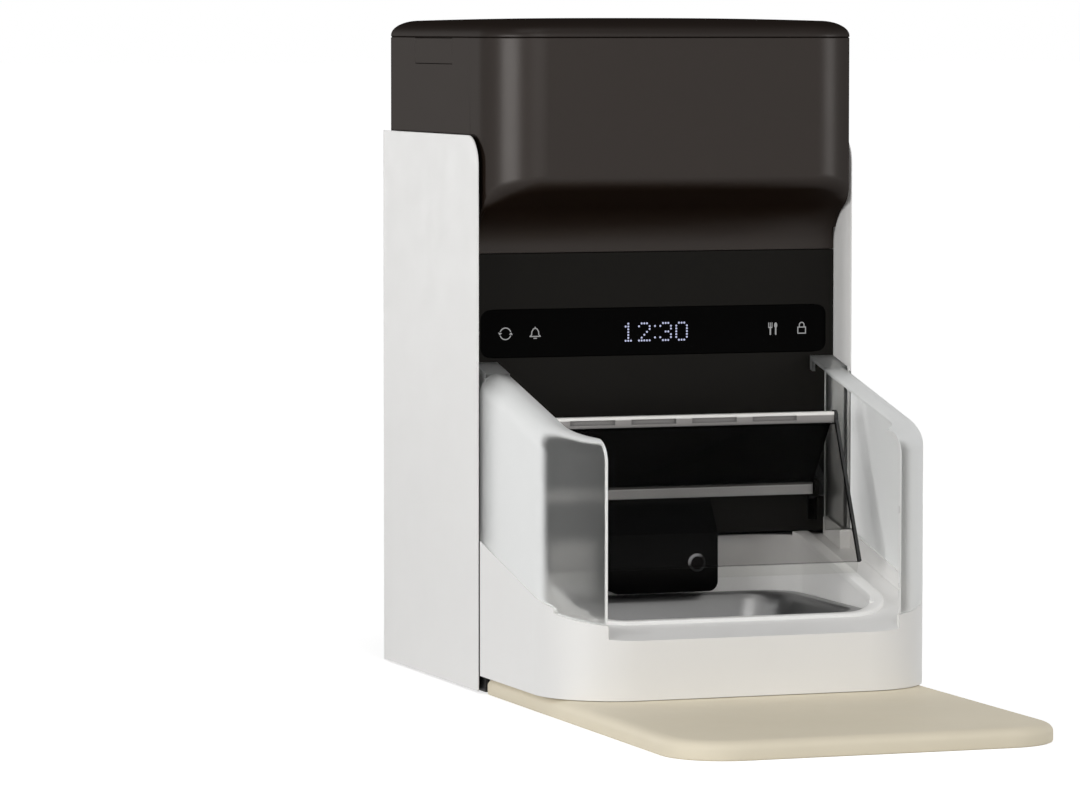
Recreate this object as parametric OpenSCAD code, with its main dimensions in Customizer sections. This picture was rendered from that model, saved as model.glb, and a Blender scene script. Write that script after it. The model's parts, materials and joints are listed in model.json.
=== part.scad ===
// Automatic pet feeder with a folding see-through cover, a lift-out bowl and a lift-off food tank.
// X runs across, Y to the back, Z up. The lengths below are counted from the front edges of the side
// panels and from the floor, and in_frame() moves the whole object so that its middle stands at the origin.

/* [Side panels] */
// Width over the two side panels
outer_w = 200; // [190:1:212]
// Depth of a side panel
panel_depth = 154; // [148:1:170]
// Height of the top edge of the side panels
panel_top = 276.4; // [268:0.2:284]
// Thickness of a side panel
panel_t = 3; // [2.4:0.1:3.4]
// Radius of the front top corner of a side panel
panel_corner_r = 14; // [8:1:30]
// Thickness left at the front edge of a side panel
panel_edge_t = 0.6; // [0.4:0.1:2]
// Depth over which a side panel grows from that edge to its full thickness
panel_edge_d = 8; // [4:0.5:14]
// Height of the casing's lowest edge over the floor
floor_gap = 1; // [0.8:0.1:1.6]

/* [Casing] */
// Gap between casing parts that lie side by side
fit_gap = 0.3; // [0.2:0.05:0.4]
// Wall of the moulded casing parts
wall = 2.4; // [2:0.1:3]
// Distance of the control panel's face behind the side panels' front edges
face_y = 19.5; // [17:0.5:22]
// Thickness of the control panel
face_t = 2.8; // [2.4:0.1:3.4]
// Height of the control panel's lower edge
body_bottom = 74.5; // [72:0.5:77]
// Height of the control panel's upper edge
body_top = 217.3; // [213:0.1:222]
// How far the back cover stands out behind the side panels
rear_overhang = 16; // [12:1:20]
// Radius of the casing's upright back corners
rear_corner_r = 28; // [24:1:32]
// Thickness of the bottom plate
plate_t = 2.8; // [2.2:0.1:3.2]
// Size of a square vent hole's short side
vent_w = 2.2; // [1.6:0.1:3]
// Length of a vent slot
vent_len = 26; // [18:1:34]
// Number of vent slots
vent_count = 7; // [4:1:9]
// Height of the vent slots' lower ends
vent_z = 122; // [116:1:126]
// Radius of the speaker behind the vents
speaker_r = 17; // [12:0.5:20]
// Depth of the speaker's rim
speaker_d = 8; // [6:0.5:10]
// Length of the control board
board_len = 80; // [70:1:84]
// Height of the control board
board_h = 60; // [50:1:64]
// Thickness of the circuit boards
board_t = 1.6; // [1.2:0.2:2]
// Distance of the tag coil's sides from the side walls
coil_side = 21.7; // [18:0.1:30]
// Width of the tag coil's winding
coil_w = 6; // [4:0.5:8]

/* [Display] */
// Distance of a lens end from the end of the control panel
lens_margin = 6.6; // [4:0.1:9]
// Height of the display lens
lens_h = 23.9; // [20:0.1:28]
// Thickness of the display lens
lens_t = 1.3; // [1:0.1:1.6]
// Radius of the lens corners
lens_corner_r = 5; // [2:0.5:8]
// Height of the middle of the display
lens_mid = 177.5; // [175:0.5:181]
// Width of the light module behind the lens
led_w = 40; // [36:1:60]
// Height of the light module
led_h = 13; // [11:0.5:16]

/* [Base and guards] */
// How far the base reaches in front of the side panels
base_reach = 121; // [116:1:128]
// Upright front corner radius of the base
base_corner_r = 40; // [36:1:44]
// Height of the sloping deck at the front wall
deck_front = 38.1; // [36:0.1:42]
// Slope of the deck in degrees
deck_slope = 13.6; // [12.4:0.1:14]
// Height of the side rim over the deck
rim_h = 9.1; // [7.5:0.1:11]
// Height of the rim over the deck round the front corners
corner_rim_h = 6.5; // [5:0.1:7.5]
// Length of that lower part of the rim
corner_rim_len = 23; // [18:0.5:30]
// Thickness of the base's floor
base_floor_t = 2; // [1.6:0.1:2.6]
// Distance from the lowered front edge to a guard's front edge
notch_gap = 0.5; // [0.5:0.5:5]
// Height of a guard's rolled top over the deck
guard_rise = 92; // [88:0.5:96]
// Radius of a guard's rolled top edge
guard_roll_r = 10; // [7:0.5:12]
// Thickness of a guard's wall
guard_t = 2; // [1.6:0.1:2.4]
// Distance of a guard's rolled edge from its outer face
guard_lip = 15.7; // [14.5:0.1:16.2]
// How far a guard reaches round the front corner, seen from the front
guard_wrap = 24.2; // [22:0.1:27]

/* [Tray and bowl] */
// Gap between a rail of the tray and the rolled edge of the guard over it
rail_gap = 0.5; // [0.3:0.1:3]
// Distance of the tray's inner front wall in front of the side panels
tray_front = 93; // [88:1:96]
// Distance of the tray's inner back wall behind the side panels' front edges
tray_back = 30; // [28.5:0.5:33]
// Corner radius of the tray
tray_corner_r = 20; // [16:1:24]
// Wall of the tray
tray_wall = 2; // [1.6:0.1:2.4]
// Width of the rail round the tray
rail_w = 6.5; // [5:0.1:7]
// Height of the rail over the deck
rail_h = 2.2; // [1.4:0.1:2.4]
// Height of the tray's front rim
front_rim_z = 44.6; // [44.4:0.1:45.2]
// Height of the ledge that carries the bowl's rim
ledge_z = 42.4; // [41.3:0.1:42.7]
// Width of that ledge
ledge_w = 4.4; // [4:0.1:5]
// Radius of the round bead on that ledge, behind the bowl, on which the bowl's rim rocks
bead_r = 0.5; // [0.4:0.05:0.6]
// Depth of the bowl
bowl_depth = 24; // [20:0.5:25]
// Sheet thickness of the bowl
bowl_t = 1; // [0.8:0.05:1.2]
// Gap round the bowl's rim
bowl_gap = 1.4; // [1.2:0.1:1.6]
// Gap between the bowl's wall and the ledge
bowl_wall_gap = 3; // [2.9:0.1:3.6]
// Rounding between the bowl's wall and its floor
bowl_round = 8; // [6:0.5:10]

/* [Mat] */
// How far a side of the mat lies inside the side panel's outer face
mat_inset = 3.5; // [2:0.5:8]
// How far the mat reaches in front of the side panels
mat_reach = 273; // [240:1:290]
// Thickness of the mat
mat_t = 9; // [8:0.1:10]
// Corner radius of the mat
mat_corner_r = 30; // [15:1:40]
// Height of the rounding of the mat's upper edge
mat_round = 3.6; // [2:0.1:4.5]

/* [Food tank] */
// How far a side of the food tank lies inside the side panel's outer face
tank_inset = 2; // [1.2:0.1:2.5]
// How far the food tank overhangs in front of the side panels
tank_front = 20; // [14:1:26]
// Height of the food tank's upper rim
tank_top = 324.4; // [318:0.2:332]
// Upright corner radius of the food tank
tank_corner_r = 28; // [22:1:32]
// Wall of the food tank
tank_wall = 3; // [2.6:0.1:3.4]
// Height of the sloping underside at the side panels' front edges
sweep_z = 242; // [239:0.5:246]
// Slope of that underside in degrees
sweep_angle = 25; // [20:1:30]
// Radius of the tank's lower front edge
lip_r = 9; // [7:0.5:12]
// Radius of the hollow where the underside meets the control panel
sweep_r = 26; // [20:1:27]
// Height of the thick mouth ring
mouth_h = 16; // [15:0.5:18]
// Width of the mouth ring inside the wall
mouth_w = 4; // [3.6:0.1:5]
// Height of the funnel's upper edge
funnel_top = 262; // [258:1:268]
// Wall of the funnel
funnel_t = 2; // [1.6:0.1:2.4]

/* [Lid] */
// Height of the lid over the seam
lid_h = 10; // [9:0.1:12]
// Width of the rounding round the lid
lid_round = 7; // [5:0.5:9]
// Depth of the lid's plug below the seam
plug_h = 6; // [5:0.5:8]
// Width of the lid's plug ring
plug_w = 2.4; // [2:0.1:3]
// Height of the hollow in the lid over the tank's rim
lid_hollow = 5; // [4:0.2:6]
// Width of the drying box
drying_w = 80; // [60:1:90]
// Length of the drying box
drying_len = 56; // [40:1:70]
// Height of the drying box
drying_h = 12; // [9:0.5:13]
// Width of the seal
seal_w = 1.7; // [1.4:0.1:2]
// Thickness of the seal
seal_h = 2.4; // [2:0.1:3]
// Length of a latch button
latch_len = 59; // [45:1:66]
// Height of a latch button
latch_h = 12.6; // [10:0.2:13.4]
// Thickness of a latch button
latch_t = 2; // [1.6:0.1:2.4]
// Travel of a latch button
latch_travel = 1.4; // [1:0.1:1.6]
// Distance of the latch button's middle from the side panels' front edges
latch_y = 77; // [70:1:85]
// Radius of a latch button's guide pin
latch_pin_r = 1.5; // [1.2:0.1:2]

/* [Food dispenser] */
// Distance of the rotor's axis behind the side panels' front edges
rotor_y = 87; // [84:1:90]
// Height of the rotor's axis
rotor_z = 180; // [178.5:0.5:182]
// Radius of the rotor's vanes
rotor_r = 26.8; // [24:0.2:27]
// Length of the rotor
rotor_len = 60; // [54:1:62]
// Number of vanes
vanes = 6; // [4:1:8]
// Thickness of a vane
vane_t = 2.4; // [1.8:0.1:3]
// Radius of the rotor's hub
hub_r = 8; // [6:0.5:10]
// Radius of the rotor's shaft
shaft_r = 4; // [3:0.5:5]
// Gap between the vanes and the drum
drum_gap = 0.7; // [0.5:0.1:1]
// Wall of the drum
drum_wall = 2.5; // [2:0.1:3]
// Clearance of a shaft in its hole
run_gap = 0.05; // [0.03:0.01:0.08]
// Tooth size of the gears, pitch diameter over teeth
gear_m = 1; // [1:1:1]
// Teeth of the rotor's gear
rotor_teeth = 48; // [44:2:50]
// Teeth of a pinion
pinion_teeth = 12; // [12:1:14]
// Face width of the gears
gear_w = 5; // [4:0.5:5.5]
// Width of the chute's mouth
chute_w = 58; // [50:1:60]
// Depth of the chute's mouth
chute_d = 18.4; // [17:0.2:19]
// Distance of the chute's front behind the side panels' front edges
chute_y = 6; // [5:0.5:7]
// Height of the chute's lower edge
chute_bottom = 46.6; // [46:0.2:52]
// Corner radius of the chute's lower edge
chute_corner_r = 5; // [2:0.5:8]
// Radius of the sensor's bezel
bezel_r = 4.6; // [3.6:0.1:5.6]
// Distance of the sensor from the middle plane
sensor_x = 17.5; // [0:0.5:20]
// Height of the sensor
sensor_z = 61.3; // [58:0.1:66]

/* [Folding cover] */
// Distance of the cover's hinge axis behind the side panels' front edges
hinge_y = 8.6; // [8:0.1:9.6]
// Height of the cover's hinge axis
hinge_z = 97.2; // [96.5:0.1:99]
// Distance of the fold's axis in front of the side panels' front edges
fold_out = 19.5; // [18:0.5:21]
// Height of the fold's axis
fold_z = 135; // [133:0.5:138]
// Gap between an end of the cross bars and the rolled edge of the guard
cover_gap = 3.6; // [3.5:0.1:6]
// Depth of the cross bars
bar_d = 5; // [4.4:0.1:5.4]
// Height of the hinge bar
hinge_bar_h = 6; // [5.6:0.1:6.4]
// Height of the fold bar
fold_bar_h = 5.5; // [5:0.1:6]
// Radius of the cover's shaft
cover_shaft_r = 2; // [1.6:0.1:2.2]
// Radius of the fold's pins
fold_pin_r = 1.5; // [1.2:0.1:1.6]
// Depth of a fold pin in the fold bar
fold_pin_in = 9; // [6:0.5:14]
// Thickness of the see-through panes
pane_t = 1.8; // [1.4:0.1:2]
// Lean of the front pane in degrees
pane_tilt = 24.4; // [23:0.1:25.5]
// Length of the front pane below the fold's axis
pane_len = 77.2; // [70:0.2:77.6]
// Length of the lip at the pane's lower edge
pane_lip = 6.6; // [4:0.2:7]
// Width of a grip slot in the fold bar
slot_len = 23.6; // [18:0.2:28]
// Height of a grip slot
slot_h = 2.4; // [1.6:0.1:3]
// Depth of a grip slot
slot_d = 1.2; // [0.8:0.1:1.6]
// Distance between the grip slots
slot_pitch = 32.2; // [30:0.2:36]
// Width of the dark strips at the sides of the front pane
strip_w = 2; // [1.6:0.1:4]
// Teeth of the whole circle of the drive sector
sector_teeth = 36; // [36:2:38]

/* [Power and service] */
// Radius of a battery
cell_r = 13.1; // [12:0.1:13.3]
// Length of a battery
cell_len = 50; // [46:0.5:51]
// Play of the cells along the battery box
cell_play = 3; // [2:0.5:6]
// How far the battery door reaches past the inside of the box at each end
door_lap = 0.2; // [0:0.1:1]
// Height of the battery door
door_h = 31; // [28:0.5:34]
// Radius of the battery door's pin
door_pin_r = 0.8; // [0.6:0.05:0.9]
// Radius of the reset button
reset_r = 3; // [2:0.1:4]
// Travel of the reset button
reset_travel = 1; // [0.6:0.1:1.4]
// Radius of a case screw
screw_r = 1.5; // [1.2:0.1:1.7]
// Length of a case screw
screw_len = 12; // [9:0.5:13]
// Radius of a rubber foot
foot_r = 8; // [6:0.5:10]
// Distance of a foot's middle from the side panel's outer face
foot_inset = 26; // [16:1:34]

/* [Hidden] */
$fn = 48;
far = 600;
eps = 0.01;
rear_y = panel_depth + rear_overhang;
split_y = rear_y - rear_corner_r;
frame_y = (mat_reach - rear_y) / 2;
inner_x = outer_w / 2 - panel_t - fit_gap;
base_w = outer_w - 2 * fit_gap;
wall_x = inner_x - wall;
base_bottom = mat_t + fit_gap;
guard_x = base_w / 2 - guard_lip;
guard_front_x = base_w / 2 - guard_wrap;
notch_w = 2 * (guard_front_x - notch_gap);
tray_w = 2 * (guard_x - rail_gap - rail_w);
bar_len = 2 * (guard_x - cover_gap);
mat_w = outer_w - 2 * mat_inset;
tank_w = outer_w - 2 * tank_inset;
lens_w = 2 * (inner_x - lens_margin);
rim_step_y = -base_reach + corner_rim_len;
tank_bottom = body_top + fit_gap;
tank_inner = inner_x - tank_wall;
mouth_inset = tank_wall + mouth_w;
lid_z = tank_top + fit_gap;
pocket_x = tank_w / 2 - latch_t - latch_travel - fit_gap;
shelf_t = 3;
shelf_z = body_top - shelf_t;
drum_r = rotor_r + drum_gap;
drum_half = rotor_len / 2 + 0.5;
rotor_pitch_r = rotor_teeth * gear_m / 2;
pinion_pitch_r = pinion_teeth * gear_m / 2;
pinion_turn = 180 + 180 / pinion_teeth;
sector_pitch_r = sector_teeth * gear_m / 2;
gear_x = drum_half + drum_wall + 5;
rotor_pinion_y = rotor_y + rotor_pitch_r + pinion_pitch_r;
chute_wall = 2;
motor_r = 12;
motor_len = 24;
motor_shaft_r = 1.5;
motor_x = gear_x + 10;
bracket_t = 2.4;
roof_start = 76;
roof_end = [rotor_y - rotor_r - 3.2, 150];
floor_start = 74;
floor_end = [rotor_y + 3, 150];
roof_slope = (roof_end[1] - roof_start) / (roof_end[0] - chute_y);
floor_slope = (floor_end[1] - floor_start) / (floor_end[0] - chute_y - chute_d);
lip_cy = -tank_front + lip_r;
lip_cz = sweep_z - lip_cy * tan(sweep_angle) + lip_r / cos(sweep_angle);
hollow_cy = face_y - sweep_r;
hollow_cz = sweep_z - hollow_cy * tan(sweep_angle) - sweep_r / cos(sweep_angle);
bowl_w = tray_w - 2 * bowl_gap;
bowl_corner_r = tray_corner_r - 3;
neck_gap = 2.3;
neck_top = body_bottom - neck_gap;
neck_back = tray_back + tray_wall + fit_gap + wall;
foot_x = outer_w / 2 - foot_inset;
foot_front = 52;
foot_back = split_y - 2 * foot_r;
rib_t = 1.7;
snug = 0.2;
tongue_x = inner_x - snug;
rim_lift = bead_r;
bead_y = tray_back - (ledge_w + bowl_gap) / 2;
bead_z = ledge_z - run_gap;
bowl_wall_w = tray_w - 2 * (ledge_w + bowl_wall_gap);
bowl_rim_z = ledge_z + rim_lift;
tray_floor = bowl_rim_z - bowl_depth - 1;
cover_motor_w = 24;
cover_motor_d = 20.5;
cover_motor_h = 20;
link_len = norm([fold_out + hinge_y, fold_z - hinge_z]);
link_tilt = atan2(fold_out + hinge_y, fold_z - hinge_z);
pane_offset = 2.3;
pane_start = 4.2;
pane_x = bar_len / 2 + 0.4;
lip_turn = 45;
frame_t = 1.5;
lug_t = 2.6;
lug_x = bar_len / 2 + 0.6;
sector_x = lug_x + lug_t + 0.4;
sector_w = 4;
cover_pinion_y = hinge_y + sector_pitch_r + pinion_pitch_r;
slot_half = 17.5;
door_z = 8.8;
screw_side = 2.7;
screw_x = inner_x - rear_corner_r - screw_side;
boss_r = 5;
screw_low = floor_gap + plate_t + boss_r + 3.2;
screw_high = shelf_z - boss_r - 2;
post_y = split_y + 6;
box_back = rear_y - wall - fit_gap;
box_floor = door_z + 2;
cell_z = box_floor + 0.3 + cell_r;
inlet_x = 52;
reset_x = 34;
service_z = 60;
box_wall = 2;
box_w = 2 * cell_len + cell_play;
door_w = box_w + 2 * door_lap;
spacer_len = 3;
coil_t = 1.2;
coil_corner_r = 8;
lug_r = 4.5;
eye_r = 3.4;
drying_wall = 2;
drying_roof = tank_top + lid_hollow;
drying_play = 0.3;

// Moves from the side panels' front edges to the object's own frame
module in_frame() {
    translate([0, frame_y, 0]) children();
}

// Turns a flat outline drawn as depth and height into a slab across the object, starting at x
module across(x, thick) {
    translate([x, 0, 0]) rotate([90, 0, 90]) linear_extrude(thick) children();
}

// Rectangle centred across, with four round corners
module round_rect(w, front, back, r) {
    translate([-w / 2 + r, front]) square([w - 2 * r, back - front]);
    translate([-w / 2, front + r]) square([w, back - front - 2 * r]);
    for (s = [-1, 1])
        for (y = [front + r, back - r])
            translate([s * (w / 2 - r), y]) circle(r);
}

// Rectangle centred across, with round corners at its front only
module front_round(w, front, back, r) {
    translate([-w / 2 + r, front]) square([w - 2 * r, back - front]);
    translate([-w / 2, front + r]) square([w, back - front - r]);
    for (s = [-1, 1])
        translate([s * (w / 2 - r), front + r]) circle(r);
}

// Rounded slab standing on z
module slab(w, front, back, r, z, h) {
    translate([0, 0, z]) linear_extrude(h) round_rect(w, front, back, r);
}

// Height of the deck at a depth
function deck_z(y) = deck_front + (y + base_reach) * tan(deck_slope);

// All space above the deck's plane, raised by lift
module above_deck(lift) {
    translate([0, -base_reach, deck_front + lift]) rotate([deck_slope, 0, 0])
        translate([-far / 2, -far / 2, 0]) cube(far);
}

// All space below the deck's plane, raised by lift
module below_deck(lift) {
    translate([0, -base_reach, deck_front + lift]) rotate([deck_slope, 0, 0])
        translate([-far / 2, -far / 2, -far]) cube(far);
}

// Outer height of the chute's roof and of its floor at a depth
function roof_z(y) = roof_start + (y - chute_y) * roof_slope;
function chute_floor_z(y) = floor_start + (y - chute_y - chute_d) * floor_slope;

// Outline of a spur gear with straight sided teeth, one of them at angle first
module gear_outline(teeth, first) {
    pitch_r = teeth * gear_m / 2;
    corners = [[-1.1, -0.3], [0.8, -0.11], [0.8, 0.11], [-1.1, 0.3]];
    polygon([
        for (k = [0:teeth - 1])
            for (c = corners)
                let (a = (k + c[1]) * 360 / teeth + first)
                (pitch_r + c[0] * gear_m) * [cos(a), sin(a)]
    ]);
}

// Side outline of a panel, grown by g
module panel_outline(g) {
    r = panel_corner_r + g;
    translate([-g, floor_gap - g]) square([panel_depth + 2 * g, panel_top - floor_gap + 2 * g - r]);
    translate([r - g, floor_gap - g])
        square([panel_depth + 2 * g - r, panel_top - floor_gap + 2 * g]);
    translate([r - g, panel_top + g - r]) circle(r);
}

// Flat panel that thins out on its inner side towards the front edge
module side_panel(side) {
    edge_x = side * (outer_w / 2 - panel_edge_t);
    inside_x = side * (outer_w / 2 - panel_t);
    difference() {
        across(side > 0 ? outer_w / 2 - panel_t : -outer_w / 2, panel_t) panel_outline(0);
        linear_extrude(far)
            polygon([[edge_x, -1], [edge_x, 0], [inside_x, panel_edge_d], [inside_x - side, panel_edge_d],
                     [inside_x - side, -1]]);
    }
}

module side_panel_left() {
    color("whitesmoke") in_frame() side_panel(-1);
}

module side_panel_right() {
    color("whitesmoke") in_frame() side_panel(1);
}

// Inner frame: two side walls, the shelf under the food tank and four screw bosses
module chassis() {
    low_top = body_bottom - fit_gap;
    face_back = face_y + face_t;
    color("dimgray") in_frame() {
        for (x = [-inner_x, wall_x])
            across(x, wall) {
                translate([fit_gap, floor_gap + plate_t])
                    square([split_y - 2 * fit_gap, low_top - floor_gap - plate_t]);
                translate([face_back, low_top - eps])
                    square([split_y - fit_gap - face_back, body_top - low_top + eps]);
            }
        difference() {
            translate([-wall_x, face_back, shelf_z])
                cube([2 * wall_x, split_y - fit_gap - face_back, shelf_t]);
            outlet(shelf_z - 1, shelf_t + 2);
        }
        for (s = [-1, 1]) {
            difference() {
                translate([s * screw_x - boss_r, split_y - fit_gap - screw_len, screw_high - boss_r])
                    cube([2 * boss_r, screw_len, shelf_z - screw_high + boss_r]);
                screw_hole(s * screw_x, screw_high, screw_r + run_gap);
            }
            difference() {
                translate([s > 0 ? screw_x - boss_r : -wall_x - eps, split_y - fit_gap - screw_len,
                           floor_gap + plate_t])
                    cube([wall_x + eps - screw_x + boss_r, screw_len,
                          screw_low + boss_r - floor_gap - plate_t]);
                screw_hole(s * screw_x, screw_low, screw_r + run_gap);
            }
        }
    }
}

// Straight way down for the food, standing on z
module outlet(z, h) {
    translate([-drum_half, rotor_y - drum_r, z]) cube([2 * drum_half, 2 * drum_r, h]);
}

// Straight hole along the depth at a screw's place
module screw_hole(x, z, r) {
    translate([x, split_y - screw_len - 2, z]) rotate([-90, 0, 0]) cylinder(h = far, r = r);
}

// Outline of the back cover, drawn in by an inset
module rear_outline(inset) {
    intersection() {
        round_rect(2 * (inner_x - inset), rear_y - 3 * rear_corner_r, rear_y - inset, rear_corner_r - inset);
        translate([-far / 2, split_y - inset]) square(far);
    }
}

module rear_cover() {
    tall = body_top - floor_gap;
    color("saddlebrown") in_frame() difference() {
        union() {
            difference() {
                translate([0, 0, floor_gap]) linear_extrude(tall) rear_outline(0);
                translate([0, 0, floor_gap + wall]) linear_extrude(tall - 2 * wall) rear_outline(wall);
            }
            for (x = [-screw_x, screw_x])
                for (z = [screw_low, screw_high])
                    translate([x, split_y, z]) rotate([-90, 0, 0])
                        cylinder(h = rear_y - wall - split_y + 1, r = boss_r);
        }
        for (x = [-screw_x, screw_x])
            for (z = [screw_low, screw_high]) {
                screw_hole(x, z, screw_r + 0.2);
                translate([x, post_y, z]) rotate([-90, 0, 0]) cylinder(h = far, r = screw_r + 1.7);
            }
        for (k = [0:vent_count - 1])
            translate([(k - (vent_count - 1) / 2) * 2.6 * vent_w - vent_w / 2, rear_y - wall - 1, vent_z])
                cube([vent_w, wall + 2, vent_len]);
        translate([-door_w / 2 - fit_gap, rear_y - wall - 1, door_z - 2])
            cube([door_w + 2 * fit_gap, wall + 2, door_h + 2 + fit_gap]);
        translate([-door_w / 2 - 3, rear_y - wall / 2, door_z]) rotate([0, 90, 0])
            cylinder(h = door_w + 6, r = door_pin_r + run_gap);
        translate([inlet_x - 7, rear_y - wall - 1, service_z - 4]) cube([14, wall + 2, 8]);
        translate([reset_x, rear_y - wall - 1, service_z]) rotate([-90, 0, 0])
            cylinder(h = wall + 2, r = reset_r + run_gap);
    }
}

// Front face with the lens pocket, the chute's opening, the drive slot and the hinge lugs
module front_panel() {
    color("black") in_frame() {
        difference() {
            translate([-inner_x, face_y, body_bottom])
                cube([2 * inner_x, face_t, body_top - body_bottom]);
            lens_shape(fit_gap / 2, face_y - 1, lens_t + 1);
            translate([-led_w / 2, face_y, lens_mid - led_h / 2]) cube([led_w, face_t + 1, led_h]);
            translate([-chute_w / 2 - fit_gap, face_y - 1, body_bottom - 1])
                cube([chute_w + 2 * fit_gap, face_t + 2, roof_z(face_y + face_t) + 2 - body_bottom]);
            translate([sector_x - 0.5, face_y - 1, hinge_z - slot_half])
                cube([sector_w + 1, face_t + 2, 2 * slot_half]);
        }
        for (x = [-lug_x - lug_t, lug_x])
            difference() {
                across(x, lug_t) {
                    translate([hinge_y, hinge_z - lug_r]) square([face_y - hinge_y + eps, 2 * lug_r]);
                    translate([hinge_y, hinge_z]) circle(lug_r);
                }
                translate([x - 1, hinge_y, hinge_z]) rotate([0, 90, 0])
                    cylinder(h = lug_t + 2, r = cover_shaft_r + run_gap);
            }
    }
}

// Lens outline as a slab that starts at depth y
module lens_shape(grow, y, thick) {
    translate([0, y + thick, lens_mid]) rotate([90, 0, 0]) linear_extrude(thick)
        round_rect(lens_w + 2 * grow, -lens_h / 2 - grow, lens_h / 2 + grow, lens_corner_r + grow);
}

module display_lens() {
    color("black") in_frame() lens_shape(0, face_y - 0.1, lens_t + 0.1);
}

module display_module() {
    color("darkslategray") in_frame()
        translate([-led_w / 2 + 0.2, face_y + lens_t, lens_mid - led_h / 2 + 0.2])
            cube([led_w - 0.4, face_t - lens_t, led_h - 0.4]);
}

module display_board() {
    color("darkgreen") in_frame()
        translate([-lens_w / 2 + 4, face_y + face_t, lens_mid - lens_h / 2 - 2])
            cube([lens_w - 8, board_t, lens_h + 4]);
}

// Upright board on four spacers at the left wall, with its larger components
module control_board() {
    board_y = 42;
    board_z = 84;
    color("darkgreen") in_frame() {
        translate([-wall_x + spacer_len, board_y, board_z]) cube([board_t, board_len, board_h]);
        for (y = [board_y + 5, board_y + board_len - 5])
            for (z = [board_z + 5, board_z + board_h - 5])
                translate([-wall_x, y, z]) rotate([0, 90, 0]) cylinder(h = spacer_len, r = 2.5);
        for (k = [0:2])
            translate([-wall_x + spacer_len + board_t, board_y + 12 + 22 * k, board_z + board_h / 3])
                cube([4, 12, 16]);
    }
}

// Flat wound frame that reads the pet's tag, behind the control panel
module tag_antenna() {
    low = hinge_z + slot_half + 2;
    high = lens_mid - lens_h / 2 - 3;
    w = 2 * (inner_x - coil_side);
    color("peru") in_frame() translate([0, face_y + face_t + coil_t, 0]) rotate([90, 0, 0])
        linear_extrude(coil_t) difference() {
            round_rect(w, low, high, coil_corner_r);
            round_rect(w - 2 * coil_w, low + coil_w, high - coil_w, coil_corner_r / 2);
        }
}

module speaker() {
    magnet_d = 7;
    color("gray") in_frame() translate([0, rear_y - wall - speaker_d, vent_z + vent_len / 2])
        rotate([-90, 0, 0]) {
            cylinder(h = speaker_d, r = speaker_r);
            translate([0, 0, -magnet_d]) cylinder(h = magnet_d, r = 0.6 * speaker_r);
        }
}

// Plan of the base drawn in by an inset, with its neck between the side walls
module base_plan(inset) {
    front_round(base_w - 2 * inset, -base_reach + inset, -fit_gap - inset, base_corner_r - inset);
    translate([-wall_x + fit_gap + inset, -fit_gap - inset - 1])
        square([2 * (wall_x - fit_gap - inset), neck_back + fit_gap + 1]);
}

// Front shell with its sloping deck, the raised rim, the lowered front edge and the hole for the tray
module base_shell() {
    color("whitesmoke") in_frame() difference() {
        union() {
            translate([0, 0, base_bottom]) linear_extrude(body_bottom) base_plan(0);
            translate([-wall_x + fit_gap, fit_gap, floor_gap + plate_t])
                cube([2 * (wall_x - fit_gap), neck_back - fit_gap, base_bottom]);
        }
        above_deck(rim_h);
        intersection() {
            above_deck(corner_rim_h);
            translate([-far / 2, rim_step_y - far, 0]) cube(far);
        }
        intersection() {
            above_deck(0);
            linear_extrude(far) base_plan(wall);
        }
        intersection() {
            above_deck(0);
            translate([-notch_w / 2, -base_reach - 1, 0]) cube([notch_w, base_corner_r, far]);
        }
        intersection() {
            below_deck(-wall);
            translate([0, 0, -1]) linear_extrude(neck_top - wall + 1) base_plan(wall);
        }
        translate([-far / 2, face_y - fit_gap, neck_top]) cube(far);
        tray_block(fit_gap / 2, tray_floor - tray_wall, far);
    }
}

// Floor of the front shell
module base_floor() {
    color("gainsboro") in_frame() translate([0, 0, base_bottom]) linear_extrude(base_floor_t)
        front_round(base_w - 2 * wall - snug, -base_reach + wall + snug / 2, -fit_gap - wall,
                    base_corner_r - wall);
}

module base_plate() {
    color("dimgray") in_frame() difference() {
        translate([-inner_x, fit_gap, floor_gap])
            cube([2 * inner_x, split_y - 2 * fit_gap, plate_t]);
        feet(run_gap);
    }
}

// The four feet, grown by g
module feet(g) {
    for (x = [-foot_x, foot_x])
        for (y = [foot_front, foot_back])
            translate([x, y, 0]) cylinder(h = floor_gap + 1, r = foot_r + g);
}

module rubber_feet() {
    color("black") in_frame() feet(0);
}

// Outer block of the tray, grown by g, from z up
module tray_block(g, z, h) {
    slab(tray_w + 2 * (tray_wall + g), -tray_front - tray_wall - g, tray_back + tray_wall + g,
         tray_corner_r + tray_wall + g, z, h);
}

// Tray with the ledge for the bowl and the rails beside it
module bowl_tray() {
    color("lightgray") in_frame() difference() {
        union() {
            intersection() {
                tray_block(0, ledge_z - tray_wall, far);
                below_deck(rail_h);
            }
            slab(tray_w - 2 * ledge_w + 2 * tray_wall, -tray_front + ledge_w - tray_wall,
                 tray_back - ledge_w + tray_wall, tray_corner_r - ledge_w + tray_wall,
                 tray_floor - tray_wall, ledge_z - tray_floor);
            intersection() {
                below_deck(rail_h);
                above_deck(0);
                slab(tray_w + 2 * rail_w, -tray_front + 8, face_y - fit_gap, tray_corner_r, 0, far);
            }
        }
        slab(tray_w, -tray_front, tray_back, tray_corner_r, ledge_z, far);
        slab(tray_w - 2 * ledge_w, -tray_front + ledge_w, tray_back - ledge_w,
             tray_corner_r - ledge_w, tray_floor, far);
        translate([-far / 2, -far - tray_front + 8, front_rim_z]) cube(far);
        translate([-far / 2, face_y - fit_gap, neck_top]) cube(far);
    }
    color("lightgray") in_frame()
        rod(bead_y, bead_z, bead_r, -tray_w / 2 + tray_corner_r, tray_w / 2 - tray_corner_r);
}

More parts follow.
